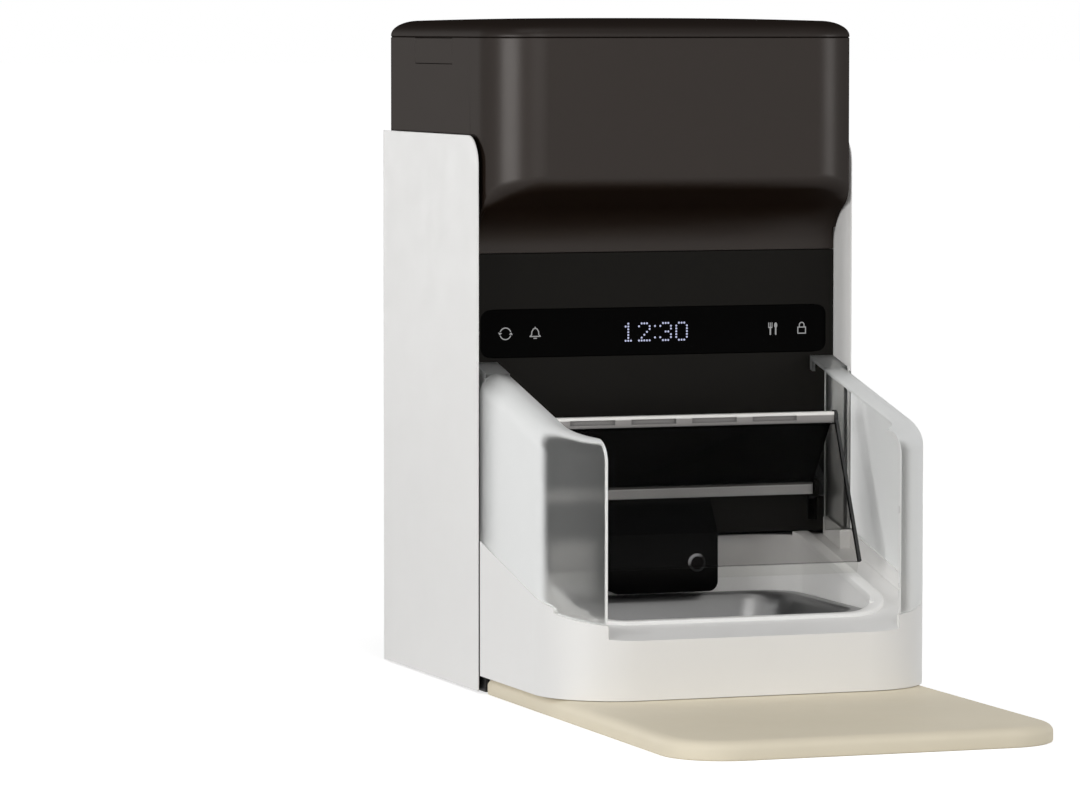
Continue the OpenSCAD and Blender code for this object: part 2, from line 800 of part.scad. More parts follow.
// Pressed form of the bowl below its rim, drawn in by an inset
module bowl_form(inset, top) {
    bottom = bowl_rim_z - bowl_depth + inset;
    hull() {
        bowl_layer(inset, bottom + bowl_round, top - bottom - bowl_round);
        bowl_layer(inset + 0.3 * bowl_round, bottom + 0.3 * bowl_round, bowl_t);
        bowl_layer(inset + bowl_round, bottom, bowl_t);
    }
}

// One level of the bowl's form, drawn in by an inset
module bowl_layer(inset, z, h) {
    slab(bowl_wall_w - 2 * inset, -tray_front + ledge_w + bowl_wall_gap + inset,
         tray_back - ledge_w - bowl_wall_gap - inset, bowl_corner_r - inset, z, h);
}

module steel_bowl() {
    color("silver") in_frame() difference() {
        union() {
            slab(bowl_w, -tray_front + bowl_gap, tray_back - bowl_gap, tray_corner_r - bowl_gap,
                 bowl_rim_z, bowl_t);
            bowl_form(0, bowl_rim_z + bowl_t / 2);
        }
        bowl_form(bowl_t, bowl_rim_z + bowl_round);
    }
}

module silicone_mat() {
    color("wheat") in_frame() hull() {
        linear_extrude(mat_t - mat_round) mat_plan(0);
        linear_extrude(mat_t - mat_round / 3) mat_plan(mat_round / 3);
        linear_extrude(mat_t) mat_plan(1.6 * mat_round);
    }
}

// Outline of the mat, drawn in by an inset
module mat_plan(inset) {
    front_round(mat_w - 2 * inset, -mat_reach + inset, -1 - inset, mat_corner_r - inset);
}

// Filled form under a guard's rolled top, drawn in by an inset, that runs past the side panels' front edges
module guard_form(inset) {
    hull() {
        translate([0, 0, base_bottom - inset]) linear_extrude(1) guard_plan(inset);
        for (a = [0:22.5:90])
            intersection() {
                linear_extrude(far)
                    guard_plan(inset + (guard_roll_r - inset) * (1 - cos(a)));
                below_deck(guard_rise - guard_roll_r + (guard_roll_r - inset) * sin(a));
                above_deck(guard_rise - guard_roll_r + (guard_roll_r - inset) * sin(a) - 0.5);
            }
    }
}

// Outline of the guards in plan, drawn in by an inset
module guard_plan(inset) {
    front_round(base_w - 2 * inset, -base_reach + inset, face_y + inset, base_corner_r - inset);
}

// Right guard: rolled wall, rib against the side panel and tongue beside the control panel
module guard() {
    difference() {
        union() {
            difference() {
                guard_form(0);
                guard_form(guard_t);
                translate([-far / 2, -fit_gap, 0]) cube(far);
                linear_extrude(far) front_round(base_w - 2 * guard_lip, -base_reach + guard_lip, 2 * face_y,
                                                base_corner_r - guard_lip);
                translate([guard_front_x - far, -far / 2, 0]) cube(far);
                below_deck(corner_rim_h);
            }
            intersection() {
                guard_form(0);
                translate([guard_x, -fit_gap - rib_t, 0]) cube([guard_lip, rib_t, far]);
            }
            intersection() {
                translate([guard_x, -fit_gap - 1, 0]) cube([tongue_x - guard_x, face_y + 1, far]);
                below_deck(guard_rise - 0.5);
                union() {
                    above_deck(guard_rise - guard_t - 0.5);
                    translate([tongue_x - guard_t, -far / 2, 0]) cube(far);
                }
            }
        }
        intersection() {
            below_deck(rim_h);
            translate([-far / 2, rim_step_y, 0]) cube(far);
        }
    }
}

module guard_right() {
    color("whitesmoke", 0.6) in_frame() guard();
}

module guard_left() {
    color("whitesmoke", 0.6) in_frame() mirror([1, 0, 0]) guard();
}

// Square bar along the whole width round an axis
module bar_block(y, z, h) {
    translate([-bar_len / 2, y - bar_d / 2, z - h / 2]) cube([bar_len, bar_d, h]);
}

// Straight pin or hole across the object
module rod(y, z, r, from, to) {
    translate([from, y, z]) rotate([0, 90, 0]) cylinder(h = to - from, r = r);
}

module hinge_bar() {
    color("silver") in_frame() difference() {
        bar_block(hinge_y, hinge_z, hinge_bar_h);
        rod(hinge_y, hinge_z, cover_shaft_r + run_gap, -bar_len, bar_len);
    }
}

module cover_shaft() {
    color("gray") in_frame()
        rod(hinge_y, hinge_z, cover_shaft_r, -lug_x - lug_t - 1, sector_x + sector_w + 1);
}

// Toothed sector at the right end of the cover's shaft
module drive_sector() {
    reach = 2 * sector_pitch_r + 4;
    color("ivory") in_frame() across(sector_x, sector_w) translate([hinge_y, hinge_z]) difference() {
        union() {
            circle(lug_r);
            intersection() {
                gear_outline(sector_teeth, 0);
                polygon([[0, -3], reach * [cos(-20), sin(-20)], reach * [cos(45), sin(45)], [-1, 4]]);
            }
        }
        circle(cover_shaft_r + run_gap);
    }
}

// Upper see-through pane between the two bars
module upper_pane() {
    color("dimgray", 0.6) in_frame() difference() {
        translate([0, hinge_y, hinge_z]) rotate([link_tilt, 0, 0])
            translate([-bar_len / 2 + 0.4, -pane_t / 2, 2]) cube([bar_len - 0.8, pane_t, link_len - 4]);
        bar_block(hinge_y, hinge_z, hinge_bar_h);
        bar_block(-fold_out, fold_z, fold_bar_h);
    }
}

// Cross bar on the fold with four grip slots in its front
module fold_bar() {
    color("silver") in_frame() difference() {
        bar_block(-fold_out, fold_z, fold_bar_h);
        for (k = [-1.5:1.5])
            translate([k * slot_pitch - slot_len / 2, -fold_out - bar_d / 2 - 1, fold_z - slot_h / 2])
                cube([slot_len, 1 + slot_d, slot_h]);
        for (s = [-1, 1])
            rod(-fold_out, fold_z, fold_pin_r + run_gap, s * bar_len / 2 - fold_pin_in,
                s * bar_len / 2 + fold_pin_in);
    }
}

module fold_pins() {
    pin_out = pane_x + frame_t - 0.2;
    pin_in = bar_len / 2 - fold_pin_in;
    color("gray") in_frame() {
        rod(-fold_out, fold_z, fold_pin_r, pin_in, pin_out);
        rod(-fold_out, fold_z, fold_pin_r, -pin_out, -pin_in);
    }
}

// Moves to the fold's axis, with the front pane hanging down along Z
module on_pane() {
    translate([0, -fold_out, fold_z]) rotate([-pane_tilt, 0, 0]) children();
}

module front_pane() {
    color("dimgray", 0.6) in_frame() on_pane()
        translate([-pane_x, -pane_offset, -pane_len]) cube([2 * pane_x, pane_t, pane_len - pane_start]);
}

// Dark strips at the sides of the front pane, with the eyes round the fold's pins
module pane_frame() {
    color("black") in_frame() on_pane() for (x = [-pane_x - frame_t, pane_x])
        across(x, frame_t) difference() {
            union() {
                translate([-pane_offset, -pane_len]) square([strip_w, pane_len]);
                circle(eye_r);
            }
            circle(fold_pin_r + run_gap);
        }
}

module pane_lip_strip() {
    color("dimgray", 0.6) in_frame() on_pane() difference() {
        translate([0, -pane_offset, -pane_len]) rotate([lip_turn, 0, 0])
            translate([-pane_x, 0, -pane_lip]) cube([2 * pane_x, pane_t, pane_lip]);
        translate([-far / 2, -far / 2, -pane_len]) cube(far);
    }
}

// Small geared motor against the back of the control panel
module cover_motor() {
    color("gray") in_frame() difference() {
        translate([sector_x - 1.6 - cover_motor_w, face_y + face_t, hinge_z - cover_motor_h / 2])
            cube([cover_motor_w, cover_motor_d, cover_motor_h]);
        rod(cover_pinion_y, hinge_z, motor_shaft_r + run_gap, sector_x - 13, sector_x);
    }
}

module cover_pinion() {
    color("ivory") in_frame() {
        across(sector_x, sector_w) translate([cover_pinion_y, hinge_z]) gear_outline(pinion_teeth, pinion_turn);
        rod(cover_pinion_y, hinge_z, motor_shaft_r, sector_x - 12, sector_x + eps);
    }
}

// Side outline of the food tank, drawn in by g
module tank_side(g) {
    front_r = lip_r - g;
    back_r = sweep_r + g;
    back_y = hollow_cy + back_r * sin(sweep_angle);
    difference() {
        union() {
            translate([lip_cy, lip_cz]) circle(front_r);
            polygon([
                [-tank_front + g, tank_top],
                [-tank_front + g, lip_cz],
                [lip_cy, lip_cz],
                [lip_cy - front_r * sin(sweep_angle), lip_cz - front_r * cos(sweep_angle)],
                [back_y, hollow_cz + back_r * cos(sweep_angle)],
                [back_y, tank_top]
            ]);
            translate([back_y - eps, tank_bottom + g])
                square([rear_y - g - back_y, tank_top - tank_bottom - g]);
        }
        translate([hollow_cy, hollow_cz]) circle(back_r);
    }
}

// Food tank with pockets for the side panels and for the latch buttons
module hopper_tank() {
    color("saddlebrown") in_frame() difference() {
        intersection() {
            across(-tank_w / 2, tank_w) tank_side(0);
            slab(tank_w, -tank_front, rear_y, tank_corner_r, 0, tank_top);
        }
        for (x = [-inner_x - panel_t, inner_x])
            across(x, panel_t) panel_outline(fit_gap);
        intersection() {
            across(-tank_inner, 2 * tank_inner) tank_side(tank_wall);
            slab(2 * tank_inner, -tank_front + tank_wall, rear_y - tank_wall, tank_corner_r - tank_wall,
                 0, tank_top - mouth_h);
        }
        slab(tank_w - 2 * mouth_inset, -tank_front + mouth_inset, rear_y - mouth_inset,
             tank_corner_r - mouth_inset, funnel_top, far);
        outlet(tank_bottom - 1, tank_wall + 2);
        for (x = [-tank_w / 2 - 10, pocket_x])
            translate([x, latch_y - latch_len / 2 - fit_gap, tank_top - latch_h - 2 * fit_gap])
                cube([tank_w / 2 + 10 - pocket_x, latch_len + 2 * fit_gap, latch_h + 5]);
        for (s = [-1, 1])
            latch_pins(s, latch_pin_r + run_gap, 20);
    }
}

// Guide pins of a latch button, or their holes
module latch_pins(s, r, len) {
    for (y = [latch_y - latch_len / 3, latch_y + latch_len / 3])
        translate([s * (tank_w / 2 - latch_t + eps), y, tank_top - latch_h / 2]) rotate([0, -s * 90, 0])
            cylinder(h = len, r = r);
}

module lid_latch(s) {
    translate([s > 0 ? tank_w / 2 - latch_t : -tank_w / 2, latch_y - latch_len / 2,
               tank_top - latch_h - fit_gap])
        cube([latch_t, latch_len, latch_h]);
    latch_pins(s, latch_pin_r, latch_t + 1.4);
}

module lid_latch_left() {
    color("sienna") in_frame() lid_latch(-1);
}

module lid_latch_right() {
    color("sienna") in_frame() lid_latch(1);
}

// Sloping inner funnel that leads the food to the outlet
module funnel_form(inset, up, down) {
    hull() {
        slab(2 * (tank_inner - 0.2 - inset), -tank_front + tank_wall + 0.2 + inset,
             rear_y - tank_wall - 0.2 - inset, tank_corner_r - tank_wall - inset, funnel_top - 1, 1 + up);
        translate([-drum_half - funnel_t + inset, rotor_y - drum_r - funnel_t + inset,
                   tank_bottom + tank_wall - down])
            cube([2 * (drum_half + funnel_t - inset), 2 * (drum_r + funnel_t - inset), 1]);
    }
}

module hopper_funnel() {
    color("tan") in_frame() difference() {
        funnel_form(0, 0, 0);
        funnel_form(funnel_t, 0.01, 0.01);
    }
}

// Outer form of the lid in plan, drawn in by an inset
module lid_layer(inset, top) {
    slab(tank_w - 2 * inset, -tank_front + inset, rear_y - inset, tank_corner_r - inset, lid_z, top);
}

module hopper_lid() {
    plug_x = tank_w / 2 - mouth_inset - 0.5;
    color("saddlebrown") in_frame() difference() {
        union() {
            hull() {
                lid_layer(0, lid_h - 0.9 * lid_round);
                lid_layer(0.1 * lid_round, lid_h - 0.62 * lid_round);
                lid_layer(0.4 * lid_round, lid_h - 0.28 * lid_round);
                lid_layer(lid_round, lid_h - 0.9);
                lid_layer(tank_corner_r - 4, lid_h);
            }
            lid_plug(0.5, 0);
        }
        lid_plug(0.5 + plug_w, lid_hollow - 1);
        seal_ring(0.4, 0.1);
    }
}

// Plug under the lid, drawn in by an inset, reaching up into the lid
module lid_plug(inset, up) {
    slab(tank_w - 2 * (mouth_inset + inset), -tank_front + mouth_inset + inset,
         rear_y - mouth_inset - inset, tank_corner_r - mouth_inset - inset, tank_top - plug_h, plug_h + 1 + up);
}

// Ring of the seal, grown outwards and upwards for its groove
module seal_ring(out, up) {
    z = tank_top - plug_h / 2 - seal_h / 2 - up;
    difference() {
        slab(tank_w - 2 * mouth_inset - 0.6 + out, -tank_front + mouth_inset + 0.3 - out / 2,
             rear_y - mouth_inset - 0.3 + out / 2, tank_corner_r - mouth_inset, z, seal_h + 2 * up);
        slab(tank_w - 2 * (mouth_inset + seal_w) - 0.6, -tank_front + mouth_inset + 0.3 + seal_w,
             rear_y - mouth_inset - 0.3 - seal_w, tank_corner_r - mouth_inset - seal_w, z - 1, seal_h + 4);
    }
}

module lid_seal() {
    color("white") in_frame() seal_ring(0, 0);
}

// Box for the drying bag under the middle of the lid
module desiccant_box() {
    inner_w = drying_w - 2 * drying_wall;
    inner_half = drying_len / 2 - drying_wall;
    color("ivory") in_frame() difference() {
        slab(drying_w, rotor_y - drying_len / 2, rotor_y + drying_len / 2, 6, drying_roof - drying_h, drying_h);
        slab(inner_w, rotor_y - inner_half, rotor_y + inner_half, 4,
             drying_roof - drying_h - drying_wall, drying_h);
    }
}

module desiccant_cap() {
    cap_w = drying_w - 2 * (drying_wall + drying_play);
    cap_half = drying_len / 2 - drying_wall - drying_play;
    low = drying_roof - drying_h - drying_wall;
    color("ivory") in_frame() difference() {
        slab(cap_w, rotor_y - cap_half, rotor_y + cap_half, 4 - drying_play, low, 3);
        for (k = [-3:3])
            translate([cap_w / 7.5 * k - 1.5, rotor_y - 0.6 * cap_half, low - 1]) cube([3, 1.2 * cap_half, 5]);
    }
}

// Round housing of the rotor with its collar under the shelf
module dispenser_drum() {
    color("dimgray") in_frame() difference() {
        union() {
            rod(rotor_y, rotor_z, drum_r + drum_wall, -drum_half - drum_wall, drum_half + drum_wall);
            rod(rotor_y, rotor_z, shaft_r + 3, -drum_half - drum_wall - 3, drum_half + drum_wall + 3);
            translate([-drum_half - drum_wall, rotor_y - drum_r - drum_wall, rotor_z])
                cube([2 * (drum_half + drum_wall), 2 * (drum_r + drum_wall), shelf_z - rotor_z]);
        }
        rod(rotor_y, rotor_z, drum_r, -drum_half, drum_half);
        rod(rotor_y, rotor_z, shaft_r + run_gap, -far / 2, far / 2);
        outlet(rotor_z, far);
        translate([-chute_w / 2 + chute_wall, roof_end[0] + 2, floor_end[1] - 20])
            cube([chute_w - 2 * chute_wall, floor_end[0] - roof_end[0] - 4, 38]);
    }
}

module rotor() {
    color("orange") in_frame() across(-rotor_len / 2, rotor_len) translate([rotor_y, rotor_z]) difference() {
        union() {
            circle(hub_r);
            intersection() {
                circle(rotor_r);
                for (k = [0:vanes - 1])
                    rotate(k * 360 / vanes + 30) translate([0, -vane_t / 2]) square([2 * rotor_r, vane_t]);
            }
        }
        circle(shaft_r + run_gap);
    }
}

module rotor_shaft() {
    color("gray") in_frame()
        rod(rotor_y, rotor_z, shaft_r, -drum_half - drum_wall - 5, gear_x + gear_w + 1);
}

module rotor_gear() {
    color("ivory") in_frame() across(gear_x, gear_w) translate([rotor_y, rotor_z]) difference() {
        gear_outline(rotor_teeth, 0);
        circle(shaft_r + run_gap);
    }
}

module rotor_pinion() {
    color("ivory") in_frame() {
        across(gear_x, gear_w) translate([rotor_pinion_y, rotor_z]) gear_outline(pinion_teeth, pinion_turn);
        rod(rotor_pinion_y, rotor_z, motor_shaft_r, gear_x + gear_w - eps, motor_x + 10);
    }
}

// Plate that carries the rotor's motor under the shelf
module motor_bracket() {
    color("silver") in_frame() difference() {
        union() {
            translate([motor_x - bracket_t, rotor_pinion_y - motor_r - 1, rotor_z - motor_r - 2])
                cube([bracket_t, 2 * motor_r + 2, shelf_z - rotor_z + motor_r + 2]);
            translate([motor_x - bracket_t, rotor_pinion_y - motor_r - 1, shelf_z - 3])
                cube([20, 2 * motor_r + 2, 3]);
        }
        rod(rotor_pinion_y, rotor_z, 4, motor_x - 10, motor_x + 10);
    }
}

module rotor_motor() {
    color("gray") in_frame() difference() {
        rod(rotor_pinion_y, rotor_z, motor_r, motor_x, motor_x + motor_len);
        rod(rotor_pinion_y, rotor_z, motor_shaft_r + run_gap, motor_x - 1, motor_x + 11);
    }
}

// Side outline of the chute, drawn in by a wall
module chute_side(g) {
    top = floor_end[1] + 16;
    roof_drop = g * sqrt(1 + roof_slope * roof_slope);
    floor_lift = g * sqrt(1 + floor_slope * floor_slope);
    polygon([
        [chute_y + g, chute_bottom - (g > 0 ? 1 : 0)],
        [chute_y + g, roof_z(chute_y + g) - roof_drop],
        [roof_end[0] + g, roof_z(roof_end[0] + g) - roof_drop],
        [roof_end[0] + g, top + g],
        [floor_end[0] - g, top + g],
        [floor_end[0] - g, chute_floor_z(floor_end[0] - g) + floor_lift],
        [chute_y + chute_d - g, chute_floor_z(chute_y + chute_d - g) + floor_lift],
        [chute_y + chute_d - g, chute_bottom - (g > 0 ? 1 : 0)]
    ]);
}

module food_chute() {
    color("black") in_frame() difference() {
        across(-chute_w / 2, chute_w) chute_side(0);
        across(-chute_w / 2 + chute_wall, chute_w - 2 * chute_wall) chute_side(chute_wall);
        rod(rotor_y, rotor_z, drum_r + drum_wall, -far / 2, far / 2);
        for (s = [-1, 1])
            translate([s * (chute_w / 2 - chute_corner_r), 0, chute_bottom + chute_corner_r])
                rotate([-90, 0, 0]) linear_extrude(face_y + 10) difference() {
                    translate([s > 0 ? 0 : -chute_corner_r - 1, 0]) square(chute_corner_r + 1);
                    circle(chute_corner_r);
                }
    }
}

module sensor_bezel() {
    color("silver") in_frame() translate([sensor_x, chute_y, sensor_z]) rotate([90, 0, 0]) difference() {
        cylinder(h = 1.1, r = bezel_r);
        translate([0, 0, -1]) cylinder(h = 4, r = bezel_r - 1.3);
    }
}

module sensor_eye() {
    color("maroon") in_frame() translate([sensor_x, chute_y, sensor_z]) rotate([90, 0, 0])
        cylinder(h = 0.8, r = bezel_r - 1.4);
}

// Open box for the four cells behind the battery door
module battery_box() {
    deep = 4 * cell_r + box_wall;
    high = 2 * cell_r + 1;
    color("black") in_frame() difference() {
        translate([-box_w / 2 - box_wall, box_back - deep - box_wall, floor_gap + plate_t])
            cube([box_w + 2 * box_wall, deep + box_wall, box_floor + high + box_wall - floor_gap - plate_t]);
        translate([-box_w / 2, box_back - deep, box_floor]) cube([box_w, deep + 1, high]);
    }
}

module batteries() {
    color("gold") in_frame() for (s = [-1, 1])
        for (k = [0, 1])
            translate([s * (cell_len / 2 + 0.4), box_back - cell_r - 0.7 - k * (2 * cell_r + 0.4),
                       cell_z - 0.3])
                rotate([0, 90, 0]) translate([0, 0, -cell_len / 2]) {
                    cylinder(h = cell_len - 2, r = cell_r);
                    cylinder(h = cell_len, r = 3);
                }
}

module battery_door() {
    color("saddlebrown") in_frame() {
        across(-door_w / 2, door_w) {
            translate([rear_y - wall, door_z]) square([wall, door_h]);
            translate([rear_y - wall / 2, door_z]) circle(wall / 2);
        }
        rod(rear_y - wall / 2, door_z, door_pin_r, -door_w / 2 - 2.6, door_w / 2 + 2.6);
    }
}

module power_inlet() {
    color("black") in_frame() {
        difference() {
            union() {
                translate([inlet_x - 6.8, rear_y - 14, service_z - 3.8]) cube([13.6, 13.6, 7.6]);
                translate([inlet_x - 9, rear_y - wall - 2, service_z - 6]) cube([18, 2, 12]);
            }
            translate([inlet_x, rear_y - 10, service_z]) rotate([-90, 0, 0]) cylinder(h = 20, r = 2.8);
        }
        translate([inlet_x, rear_y - 10.5, service_z]) rotate([-90, 0, 0]) cylinder(h = 8, r = 0.9);
    }
}

module reset_button() {
    color("red") in_frame() translate([reset_x, rear_y, service_z]) rotate([90, 0, 0]) {
        translate([0, 0, -0.4]) cylinder(h = 12, r = reset_r);
        translate([0, 0, wall + fit_gap]) cylinder(h = 2, r = reset_r + 1.5);
    }
}

module case_screws() {
    color("gray") in_frame() for (x = [-screw_x, screw_x])
        for (z = [screw_low, screw_high])
            translate([x, post_y, z]) {
                rotate([90, 0, 0]) cylinder(h = screw_len + 4, r = screw_r);
                rotate([-90, 0, 0]) cylinder(h = 2, r = screw_r + 1.5);
            }
}

side_panel_left();
side_panel_right();
chassis();
rear_cover();
front_panel();
display_lens();
display_module();
display_board();
control_board();
tag_antenna();
speaker();
base_shell();
base_floor();
base_plate();
rubber_feet();
bowl_tray();
steel_bowl();
silicone_mat();
guard_left();
guard_right();
hinge_bar();
cover_shaft();
drive_sector();
upper_pane();
fold_bar();
fold_pins();
front_pane();
pane_frame();
pane_lip_strip();
cover_motor();
cover_pinion();
hopper_tank();
hopper_funnel();
hopper_lid();
lid_seal();
desiccant_box();
desiccant_cap();
lid_latch_left();
lid_latch_right();
dispenser_drum();
rotor();
rotor_shaft();
rotor_gear();
motor_bracket();
rotor_motor();
rotor_pinion();
food_chute();
sensor_bezel();
sensor_eye();
battery_box();
batteries();
battery_door();
power_inlet();
reset_button();
case_screws();
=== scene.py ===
import bpy
import bmesh
import json
import math
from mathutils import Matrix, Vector

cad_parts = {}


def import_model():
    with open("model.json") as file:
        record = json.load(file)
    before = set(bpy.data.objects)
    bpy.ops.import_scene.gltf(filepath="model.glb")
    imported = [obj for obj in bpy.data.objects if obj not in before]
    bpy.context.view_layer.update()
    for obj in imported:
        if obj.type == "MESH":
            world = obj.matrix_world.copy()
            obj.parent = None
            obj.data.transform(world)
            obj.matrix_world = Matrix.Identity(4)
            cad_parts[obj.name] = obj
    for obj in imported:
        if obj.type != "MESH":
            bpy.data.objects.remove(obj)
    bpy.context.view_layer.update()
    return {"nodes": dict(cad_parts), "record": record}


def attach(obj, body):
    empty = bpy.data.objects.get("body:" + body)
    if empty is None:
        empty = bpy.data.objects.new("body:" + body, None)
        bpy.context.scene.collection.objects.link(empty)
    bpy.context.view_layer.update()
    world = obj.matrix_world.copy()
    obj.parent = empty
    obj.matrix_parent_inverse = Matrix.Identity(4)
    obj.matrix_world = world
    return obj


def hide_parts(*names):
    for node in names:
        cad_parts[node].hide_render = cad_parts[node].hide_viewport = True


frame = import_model()
nodes = frame["nodes"]

# Lengths of pieces are in millimetres. X counts from the middle, Y from the front edges of the CAD side
# panels towards the back, and Z from the floor. FRAME_Y is where those front edges lie in the shared frame.
FRAME_Y = 51.5
SENSOR_X, SENSOR_Z = 17.5, 61.3


def P(x, y, z):
    return Vector((x / 1000, (y + FRAME_Y) / 1000, z / 1000))


def sweep(start, end, steps):
    """Angles in radians from start to end, both given in degrees."""
    return [math.radians(start + (end - start) * k / steps) for k in range(steps + 1)]


def hand(side):
    return "right" if side > 0 else "left"


# Materials. Lengths inside a material are in metres, and Y there is the frame's own.
GRAIN_DEPTH = 0.0004
FOLD_BAR_TOP, HINGE_BAR_TOP = 0.13775, 0.1002


def srgb(r, g, b):
    def lin(v):
        v /= 255
        return v / 12.92 if v <= 0.04045 else ((v + 0.055) / 1.055) ** 2.4
    return (lin(r), lin(g), lin(b), 1.0)


def scaled(c, k):
    return (c[0] * k, c[1] * k, c[2] * k, 1.0)


class Graph:
    """A node material with object coordinates, and the patterns of nodes that the surfaces below share."""

    def __init__(self, name):
        self.m = bpy.data.materials.new(name)
        self.m.use_nodes = True
        self.t = self.m.node_tree
        self.t.nodes.clear()
        self.out = self.t.nodes.new("ShaderNodeOutputMaterial")
        where = self.t.nodes.new("ShaderNodeTexCoord")
        self.coord, self.facing = where.outputs["Object"], where.outputs["Normal"]

    def node(self, kind, **inputs):
        n = self.t.nodes.new(kind)
        for k, v in inputs.items():
            n.inputs[k.replace("_", " ")].default_value = v
        return n

    def link(self, a, b):
        self.t.links.new(a, b)

    def feed(self, sockets, values):
        """Links each value that comes from a node, and sets each plain one on the socket itself."""
        for socket, value in zip(sockets, values):
            if isinstance(value, bpy.types.NodeSocket):
                self.link(value, socket)
            else:
                socket.default_value = value

    def math(self, operation, *values):
        n = self.t.nodes.new("ShaderNodeMath")
        n.operation = operation
        self.feed(n.inputs, values)
        return n.outputs[0]

    def vector_math(self, operation, *values):
        n = self.t.nodes.new("ShaderNodeVectorMath")
        n.operation = operation
        self.feed(n.inputs, values)
        return n.outputs["Value"]

    def part(self, vector, axis):
        n = self.t.nodes.new("ShaderNodeSeparateXYZ")
        self.link(vector, n.inputs[0])
        return n.outputs[axis]

    def noise(self, scale, detail=3.0, rough=0.55, stretch=None):
        n = self.node("ShaderNodeTexNoise", Scale=scale, Detail=detail, Roughness=rough)
        place = self.coord
        if stretch:
            mapping = self.node("ShaderNodeMapping", Scale=stretch)
            self.link(place, mapping.inputs["Vector"])
            place = mapping.outputs["Vector"]
        self.link(place, n.inputs["Vector"])
        return n.outputs["Fac"]

    def spread(self, value, lo, hi, a=0.3, b=0.7, smooth=False):
        """Takes a value that runs from a to b to one that runs from lo to hi."""
        n = self.node("ShaderNodeMapRange", From_Min=a, From_Max=b, To_Min=lo, To_Max=hi)
        if smooth:
            n.interpolation_type = "SMOOTHSTEP"
        self.link(value, n.inputs["Value"])
        return n.outputs["Result"]

    def mix(self, fac, a, b, blend="MIX"):
        n = self.t.nodes.new("ShaderNodeMix")
        n.data_type = "RGBA"
        n.blend_type = blend
        self.feed((n.inputs[0], n.inputs[6], n.inputs[7]), (fac, a, b))
        return n.outputs[2]

    def mottled(self, lo, hi, scale=14, detail=4):
        """Colour that drifts between two tones."""
        return self.mix(self.spread(self.noise(scale, detail), 0, 1), lo, hi)

    def grain(self, scale, strength, edge, stretch=None):
        """Normal of a finely grained surface whose edges are rounded by a radius."""
        bump = self.node("ShaderNodeBump", Strength=strength, Distance=GRAIN_DEPTH)
        self.link(self.noise(scale, 2, 0.6, stretch), bump.inputs["Height"])
        bevel = self.node("ShaderNodeBevel", Radius=edge)
        bevel.samples = 4
        self.link(bevel.outputs["Normal"], bump.inputs["Normal"])
        return bump.outputs["Normal"]

    def mix_shader(self, fac, a, b):
        n = self.t.nodes.new("ShaderNodeMixShader")
        self.feed(n.inputs, (fac, a.outputs[0], b.outputs[0]))
        return n

    def finish(self, shader):
        self.link(shader.outputs[0], self.out.inputs["Surface"])
        return self.m

    def finish_clear(self, shader, share):
        """Ends a see-through material: a share of the lamps' light passes to what is behind it."""
        path = self.t.nodes.new("ShaderNodeLightPath")
        passing = self.math("MULTIPLY", path.outputs["Is Shadow Ray"], share)
        return self.finish(self.mix_shader(passing, shader, self.t.nodes.new("ShaderNodeBsdfTransparent")))


def dark_satin(name, color, gloss, rough, wear=0.02, edge=0.0006, grain=0.03, flat=None):
    """Dark moulded plastic: nearly all its light comes back without colour, evenly from every angle, and less
    of it from faces that look up or down where a share for them is given: painted shade on those faces."""
    g = Graph(name)
    body = g.node("ShaderNodeBsdfPrincipled", Roughness=0.6, Specular_IOR_Level=0.0)
    g.link(g.mottled(scaled(color, 0.96), scaled(color, 1.04)), body.inputs["Base Color"])
    shine = g.node("ShaderNodeBsdfGlossy", Color=(0.8, 0.768, 0.745, 1))
    g.link(g.spread(g.noise(60, 5, 0.65), rough - wear, rough + wear), shine.inputs["Roughness"])
    normal = g.grain(2600, grain, edge)
    for shader in (body, shine):
        g.link(normal, shader.inputs["Normal"])
    # painted shade: faces that look up or down reflect less, darker by their facing alone
    if flat is not None:
        tilt = g.math("ABSOLUTE", g.part(g.facing, "Z"))
        gloss = g.spread(tilt, gloss, gloss * flat, 0.15, 0.9)
    return g.finish(g.mix_shader(gloss, body, shine))


def plastic(name, color, rough=0.4, mottle=0.06, grain=0.02, grain_scale=1500, edge=0.0005, spec=0.5,
            metallic=0.0, stretch=None, wear=0.06, paint=None):
    """Moulded plastic, metal or rubber with mottled colour, rubbed gloss and fine grain."""
    g = Graph(name)
    body = g.node("ShaderNodeBsdfPrincipled", Metallic=metallic, Specular_IOR_Level=spec)
    tone = paint(g) if paint else g.mottled(scaled(color, 1 - mottle), scaled(color, 1 + mottle))
    g.link(tone, body.inputs["Base Color"])
    g.link(g.spread(g.noise(60, 5, 0.65, stretch), rough - wear, rough + wear), body.inputs["Roughness"])
    g.link(g.grain(grain_scale, grain, edge, stretch), body.inputs["Normal"])
    return g.finish(body)


def bar_painted_light(face, top, height):
    """Colour of a cover bar that ends at a height, with painted light: a painted highlight along its top edge
    and painted shade in its slots.
    """
    lit_band = (height - 0.0019, height - 0.0013)
    slot_shade_color, full = srgb(180, 180, 180), srgb(255, 255, 255)

    def paint(g):
        # painted highlight: the lighter top colour on a band along the bar's top edge stands in for the light
        # falling there
        tone = g.mix(g.spread(g.part(g.coord, "Z"), 0, 1, *lit_band), face, top)
        # painted shade: ambient occlusion darkens the colour in the slots
        near = g.node("ShaderNodeAmbientOcclusion", Distance=0.003)
        near.samples = 6
        slot_shade = g.mix(g.spread(near.outputs["AO"], 0, 1, 0.45, 0.95), slot_shade_color, full)
        tone = g.mix(1.0, tone, slot_shade, "MULTIPLY")
        return g.mix(1.0, tone, g.mottled(srgb(250, 250, 250), full), "MULTIPLY")
    return paint


